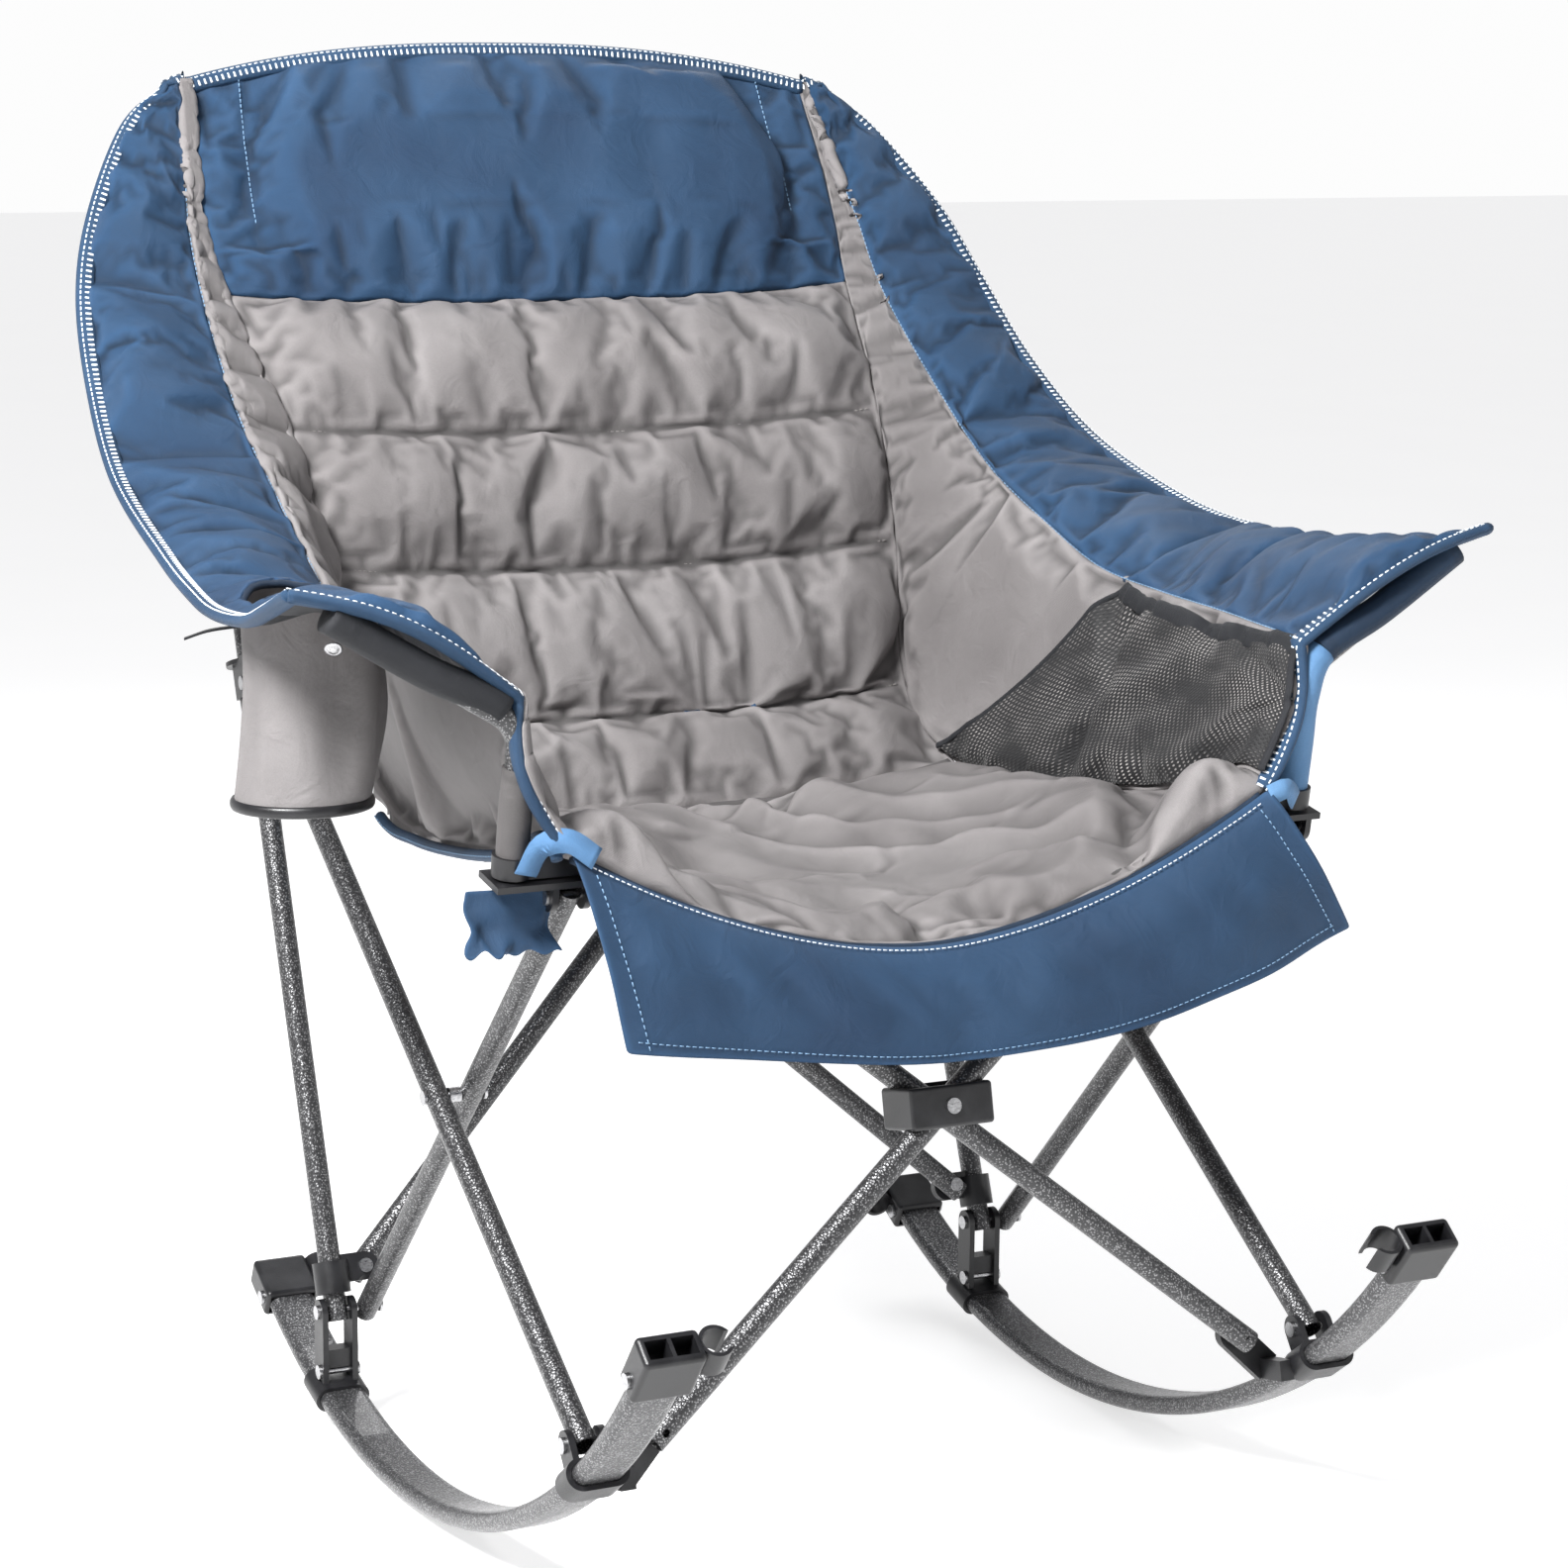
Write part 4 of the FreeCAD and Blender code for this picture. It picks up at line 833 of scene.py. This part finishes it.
def cup_holder():
    """The leaning cloth cylinder, its rim and floor, and the lip round the arm's opening."""
    around, rows = 96, 29
    points = []
    tops = [arm_height(CUP[0] + math.cos(2 * math.pi * k / around) * CUP_HOLE,
                       CUP[1] + math.sin(2 * math.pi * k / around) * CUP_HOLE) for k in range(around)]
    for r in range(rows):
        t = r / (rows - 1)
        radius = CUP_HOLE + 3.0 * math.sin(math.pi * t)
        bulge = math.sin(math.pi * t)
        middle = CUP + CUP_LEAN * (1 - t) - CUP_LEAN * bulge
        for k in range(around):
            turn = 2 * math.pi * k / around
            at = Vector((math.cos(turn) * 1.7, math.sin(turn) * 1.7, t * 1.3))
            fold = noise.noise(at) * 7.0 * bulge ** 0.6
            pull = math.cos(3 * turn + 0.6) * 2.2 * bulge
            reach = radius + fold + pull
            z = CUP_FLOOR_Z + (tops[k] - CUP_FLOOR_Z) * t
            points.append((middle[0] + math.cos(turn) * reach, middle[1] + math.sin(turn) * reach, z))
    faces = []
    for r in range(rows - 1):
        for k in range(around):
            n = (k + 1) % around
            faces.append((r * around + k, r * around + n, (r + 1) * around + n, (r + 1) * around + k))
    uvs = [(k / around * 0.35, r / rows * 0.12) for r in range(rows) for k in range(around)]
    body = add_mesh("cup_holder_cloth", points, faces, GREY, uvs)
    modify(body, "SUBSURF", levels=1, render_levels=1)
    modify(body, "SOLIDIFY", thickness=1.6 * MM, offset=-1.0)
    apply_modifiers(body)
    turn = np.linspace(0, 2 * np.pi, 65)
    base = CUP + CUP_LEAN
    ring = np.stack([base[0] + np.cos(turn) * 51.5, base[1] + np.sin(turn) * 51.5,
                     np.full(65, CUP_FLOOR_Z)], axis=1)
    rim = sweep("cup_holder_rim", ring, oval(2.6, 4.4), np.array([0.0, 0.0, 1.0]), PLASTIC, 5.0)
    floor_points = [(base[0], base[1], 590.0)] + [tuple(p) for p in ring[:-1] * [1, 1, 0] + [0, 0, 590.0]]
    floor_faces = [(0, i + 1, (i + 1) % 64 + 1) for i in range(64)]
    floor = add_mesh("cup_holder_floor", floor_points, floor_faces, GREY)
    modify(floor, "SOLIDIFY", thickness=2 * MM, offset=0.0)
    apply_modifiers(floor)
    lip_ring = np.stack([CUP[0] + np.cos(turn) * CUP_HOLE, CUP[1] + np.sin(turn) * CUP_HOLE,
                         np.full(65, 0.0)], axis=1)
    for p in lip_ring:
        p[2] = arm_height(p[0], p[1])
    lip = sweep("cup_opening_lip", lip_ring, oval(4.2, 3.2), np.array([0.0, 0.0, 1.0]), BLUE, 5.0)
    return body, rim, floor, lip


CUP_PARTS = cup_holder()


# ------------------------------------------------------------------ sleeves, tabs and snaps
extras = {"left": [], "right": []}
arm_extras = {"left": [], "right": []}
POST_FOOT = np.array([0.0, 152.0, 100.0])
POST_LEAN = math.radians(20.3)
POST_UP = np.array([0.0, math.sin(POST_LEAN), math.cos(POST_LEAN)])
POST_SIDE = 310.0                   # half the distance between the back posts
CORNER = np.array([0.0, -297.0, 538.0])
ARM_UP = np.array([0.0, -38.0, 201.0]) / math.hypot(38.0, 201.0)
ARM_BEND = 134.0                    # from the seat corner up to the arm post's bend
ARM_POST_X = {"left": -326.0, "right": 338.5}


def arm_sleeve(side, name, start, end, radius, mat):
    """Cloth drawn round the arm post, slightly creased along its length."""
    base = CORNER + [ARM_POST_X[side], 0, 0]
    bend = base + ARM_UP * ARM_BEND
    outward = -1 if side == "left" else 1
    tip = np.array([outward * 470.0, bend[1] - 5.0, bend[2] + 87.0])
    path = spline([base + ARM_UP * 20, base + ARM_UP * 70, base + ARM_UP * 112,
                   bend + (tip - bend) * 0.12 + [outward * -3.0, 0, 3.0],
                   bend + (tip - bend) * 0.5, tip], [12] * 5)
    first, last = int(start * (len(path) - 1)), int(end * (len(path) - 1))
    return sweep(side + name, path[first:last + 1], oval(radius, radius, 18), np.array([0.0, -1.0, 0.05]),
                 mat, 5.0)


for side in ("left", "right"):
    outward = -1 if side == "left" else 1
    post = POST_FOOT + [outward * POST_SIDE, 0, 0]
    sleeve = sweep(side + "_post_sleeve", np.linspace(post + POST_UP * 690, post + POST_UP * 1052, 40),
                   oval(14.5, 13.5, 20), np.array([0.0, -1.0, 0.4]), DARK, 8.0)
    low_edge = BASE[CREASE:, side_of(side, COL_EDGE)] + [outward * 7.0, 0, -6.0]
    piping = sweep(side + "_side_piping", low_edge, oval(4.6, 4.6), np.array([0.0, 0.0, 1.0]), BINDING, 5.0)
    thread = stitches(side + "_side_piping_thread", low_edge, 0, np.array([outward, 0.0, 0.0]),
                      3.4, 1.1, 6.0, BLUE_THREAD, along=True, lift=4.3)
    extras[side] += [sleeve, piping, thread]
    top_cloth, pocket_end, pocket_cloth = (DARK, 0.36, GREY) if side == "left" else (BLUE, 0.6, PALE_BLUE)
    arm_extras[side] += [arm_sleeve(side, "_arm_post_sleeve", 0.6, 1.0, 12.5, top_cloth),
                         arm_sleeve(side, "_arm_post_pocket", 0.0, pocket_end, 12.4, pocket_cloth)]


def ribbon(name, line, wide, mat, up):
    """A short length of webbing, 1.4 mm thick."""
    half = wide / 2
    return sweep(name, line, [(-half, -0.7), (half, -0.7), (half, 0.7), (-half, 0.7)], up, mat, 4.0)


def crumpled_scrap():
    """The loose end of the blue cloth that hangs behind the corner bracket."""
    rows, cols = 17, 25
    grid = np.zeros((rows, cols, 3))
    for r in range(rows):
        for c in range(cols):
            u, v = c / (cols - 1), r / (rows - 1)
            crumple = noise.noise(Vector((u * 3.5, v * 2.5, 2.0))) * 11.0 * v
            fray = noise.noise(Vector((u * 9.0, 4.0, 1.0))) * 8.0 * v ** 4
            grid[r, c] = (-356 + 66 * u + crumple, -286 - 10 * u - crumple, 545 - 48 * v + fray)
    obj = add_mesh("left_corner_scrap", grid.reshape(-1, 3), grid_faces(rows, cols), BLUE, grid_uvs(grid))
    modify(obj, "SUBSURF", levels=1, render_levels=1)
    modify(obj, "SOLIDIFY", thickness=1.2 * MM, offset=0.0)
    return apply_modifiers(obj)


LEFT_LOOP = spline([(-322, -318, 560), (-314, -330, 582), (-296, -338, 586), (-276, -341, 572)], [8] * 3)
RIGHT_LOOP = spline([(296, -338, 574), (312, -338, 578), (326, -328, 566)], [8] * 2)
POST_TAB = spline([(366, 352, 652), (345, 345, 659), (315, 341, 662)], [8] * 2)
UPRIGHT = np.array([0.0, 0.0, 1.0])
tabs = {
    "left": [
        ribbon("left_corner_loop", LEFT_LOOP, 18.0, PALE_BLUE, np.array([0.2, -1.0, 0.3])),
        crumpled_scrap(),
        ribbon("left_post_tab", POST_TAB * [-1, 1, 1], 11.0, DARK, UPRIGHT),
    ],
    "right": [
        ribbon("right_corner_loop", RIGHT_LOOP, 16.0, PALE_BLUE, np.array([0.0, -1.0, 0.3])),
        ribbon("right_post_tab", POST_TAB, 11.0, DARK, UPRIGHT),
    ],
}


def snap(name, at, facing):
    """A pressed metal snap: a domed cap inside a flat ring."""
    n = np.array(facing, float) / np.linalg.norm(facing)
    a = np.cross(n, [0.3, 0.9, 0.2])
    a /= np.linalg.norm(a)
    b = np.cross(n, a)
    rings = [(6.6, 0.0), (6.8, 0.8), (5.2, 1.3), (4.6, 1.1), (3.6, 2.0), (1.8, 2.7)]
    points, faces = [], []
    for radius, height in rings:
        for k in range(24):
            turn = 2 * math.pi * k / 24
            points.append(np.array(at) + n * height + (a * math.cos(turn) + b * math.sin(turn)) * radius)
    for r in range(len(rings) - 1):
        for k in range(24):
            m = (k + 1) % 24
            faces.append((r * 24 + k, r * 24 + m, (r + 1) * 24 + m, (r + 1) * 24 + k))
    faces.append(tuple((len(rings) - 1) * 24 + k for k in range(24)))
    return add_mesh(name, points, faces, RIVET)


snaps = {"left": [snap("left_arm_snap", (-424, -205, 716), (-0.3, -0.75, -0.55))],
         "right": [snap("right_arm_snap", (478, -300, 738), (0.2, -0.8, -0.55))]}


def fold_across(obj):
    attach(obj, "left_post")
    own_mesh(obj)


def fold_seat(obj):
    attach(obj, "seat")
    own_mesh(obj)


def fold_arm(obj, side):
    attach(obj, side + "_post")
    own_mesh(obj)


for name in ("headrest_cover", "back_quilt"):
    fold_across(pieces[name])
for obj in quilt_threads + head_threads + binding["top_edge"]:
    fold_across(obj)
for obj in [pieces["seat_quilt"], SKIRT, hem_roll, hem_stitch] + SKIRT_THREADS:
    fold_seat(obj)
for side in ("left", "right"):
    for obj in ([pieces[side + "_side_lining"], pieces[side + "_wing_cloth"]] + extras[side]
                + binding[side + "_arm_edge"] + binding[side + "_front_edge"] + tabs[side] + snaps[side]):
        fold_arm(obj, side)
    for obj in arm_extras[side]:
        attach(obj, side + "_arm")
for obj, side in zip(seam_threads, ("left", "right")):
    fold_arm(obj, side)
for obj in [NET_PIECE] + NET_TRIM:
    fold_arm(obj, "right")
for obj in CUP_PARTS:
    fold_arm(obj, "left")

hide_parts("headrest_panel")
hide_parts("back_panel")
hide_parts("seat_pad")
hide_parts("front_skirt")
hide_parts("left_side_panel")
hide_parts("right_side_panel")
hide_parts("left_wing", "left_arm_cover")
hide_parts("right_wing", "right_arm_cover")
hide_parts("mesh_pocket")
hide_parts("cup_holder", "cup_holder_base")


# ------------------------------------------------------------------ studio
FLOOR_HALF = 40000
LIGHTS = [("key", (-2.0, -1.1, 2.7), 0.9, 235), ("fill", (2.8, -2.2, 1.6), 1.6, 12),
          ("rim", (0.8, 2.6, 2.6), 1.5, 34)]                # name, place, size in metres, watts
AIM = Vector((0, 0, 0.65))


def sky():
    """A soft grey dome, brighter towards the horizon."""
    world = bpy.data.worlds.new("studio")
    world.use_nodes = True
    nodes, links = world.node_tree.nodes, world.node_tree.links
    background = nodes["Background"]
    background.inputs["Strength"].default_value = 1.0
    where, split = nodes.new("ShaderNodeTexCoord"), nodes.new("ShaderNodeSeparateXYZ")
    ramp = nodes.new("ShaderNodeValToRGB")
    for element, at, colour in zip(ramp.color_ramp.elements, (0.06, 0.3), (grey(0.98), (0.32, 0.32, 0.33))):
        element.position = at
        element.color = (*colour, 1.0)
    links.new(where.outputs["Generated"], split.inputs[0])
    links.new(split.outputs["Z"], ramp.inputs[0])
    links.new(ramp.outputs[0], background.inputs["Color"])
    return world


def studio_floor():
    """A pale floor that gives some light of its own, so that it stays as pale as the background."""
    m = Nodes("studio_floor", 0.9, specular=0.1)
    m.shader.inputs["Emission Color"].default_value = (1.0, 1.0, 1.0, 1.0)
    m.shader.inputs["Emission Strength"].default_value = 0.64
    m.colour(m.ramp(m.noise(2.0, 2.0), [(0.3, grey(0.64)), (0.7, grey(0.66))]))
    corners = [(x * FLOOR_HALF, y * FLOOR_HALF, -1) for x, y in ((-1, -1), (1, -1), (1, 1), (-1, 1))]
    add_mesh("studio_floor", corners, [(0, 1, 2, 3)], m.mat)


def studio():
    scene = bpy.context.scene
    scene.view_settings.view_transform = "Standard"
    scene.world = sky()
    studio_floor()
    for name, where, size, power in LIGHTS:
        light = bpy.data.lights.new(name, "AREA")
        light.size = size
        light.energy = power
        obj = bpy.data.objects.new(name, light)
        obj.location = where
        obj.rotation_euler = (AIM - Vector(where)).to_track_quat("-Z", "Y").to_euler()
        scene.collection.objects.link(obj)
    camera = bpy.data.cameras.new("camera")
    camera.lens = 88.8
    camera.sensor_width = 36.0
    view = bpy.data.objects.new("camera", camera)
    view.location = (-1.340, -2.849, 1.099)
    view.rotation_euler = (math.radians(90 - 9.85), 0.0, math.radians(-25.81))
    scene.collection.objects.link(view)
    scene.camera = view


studio()
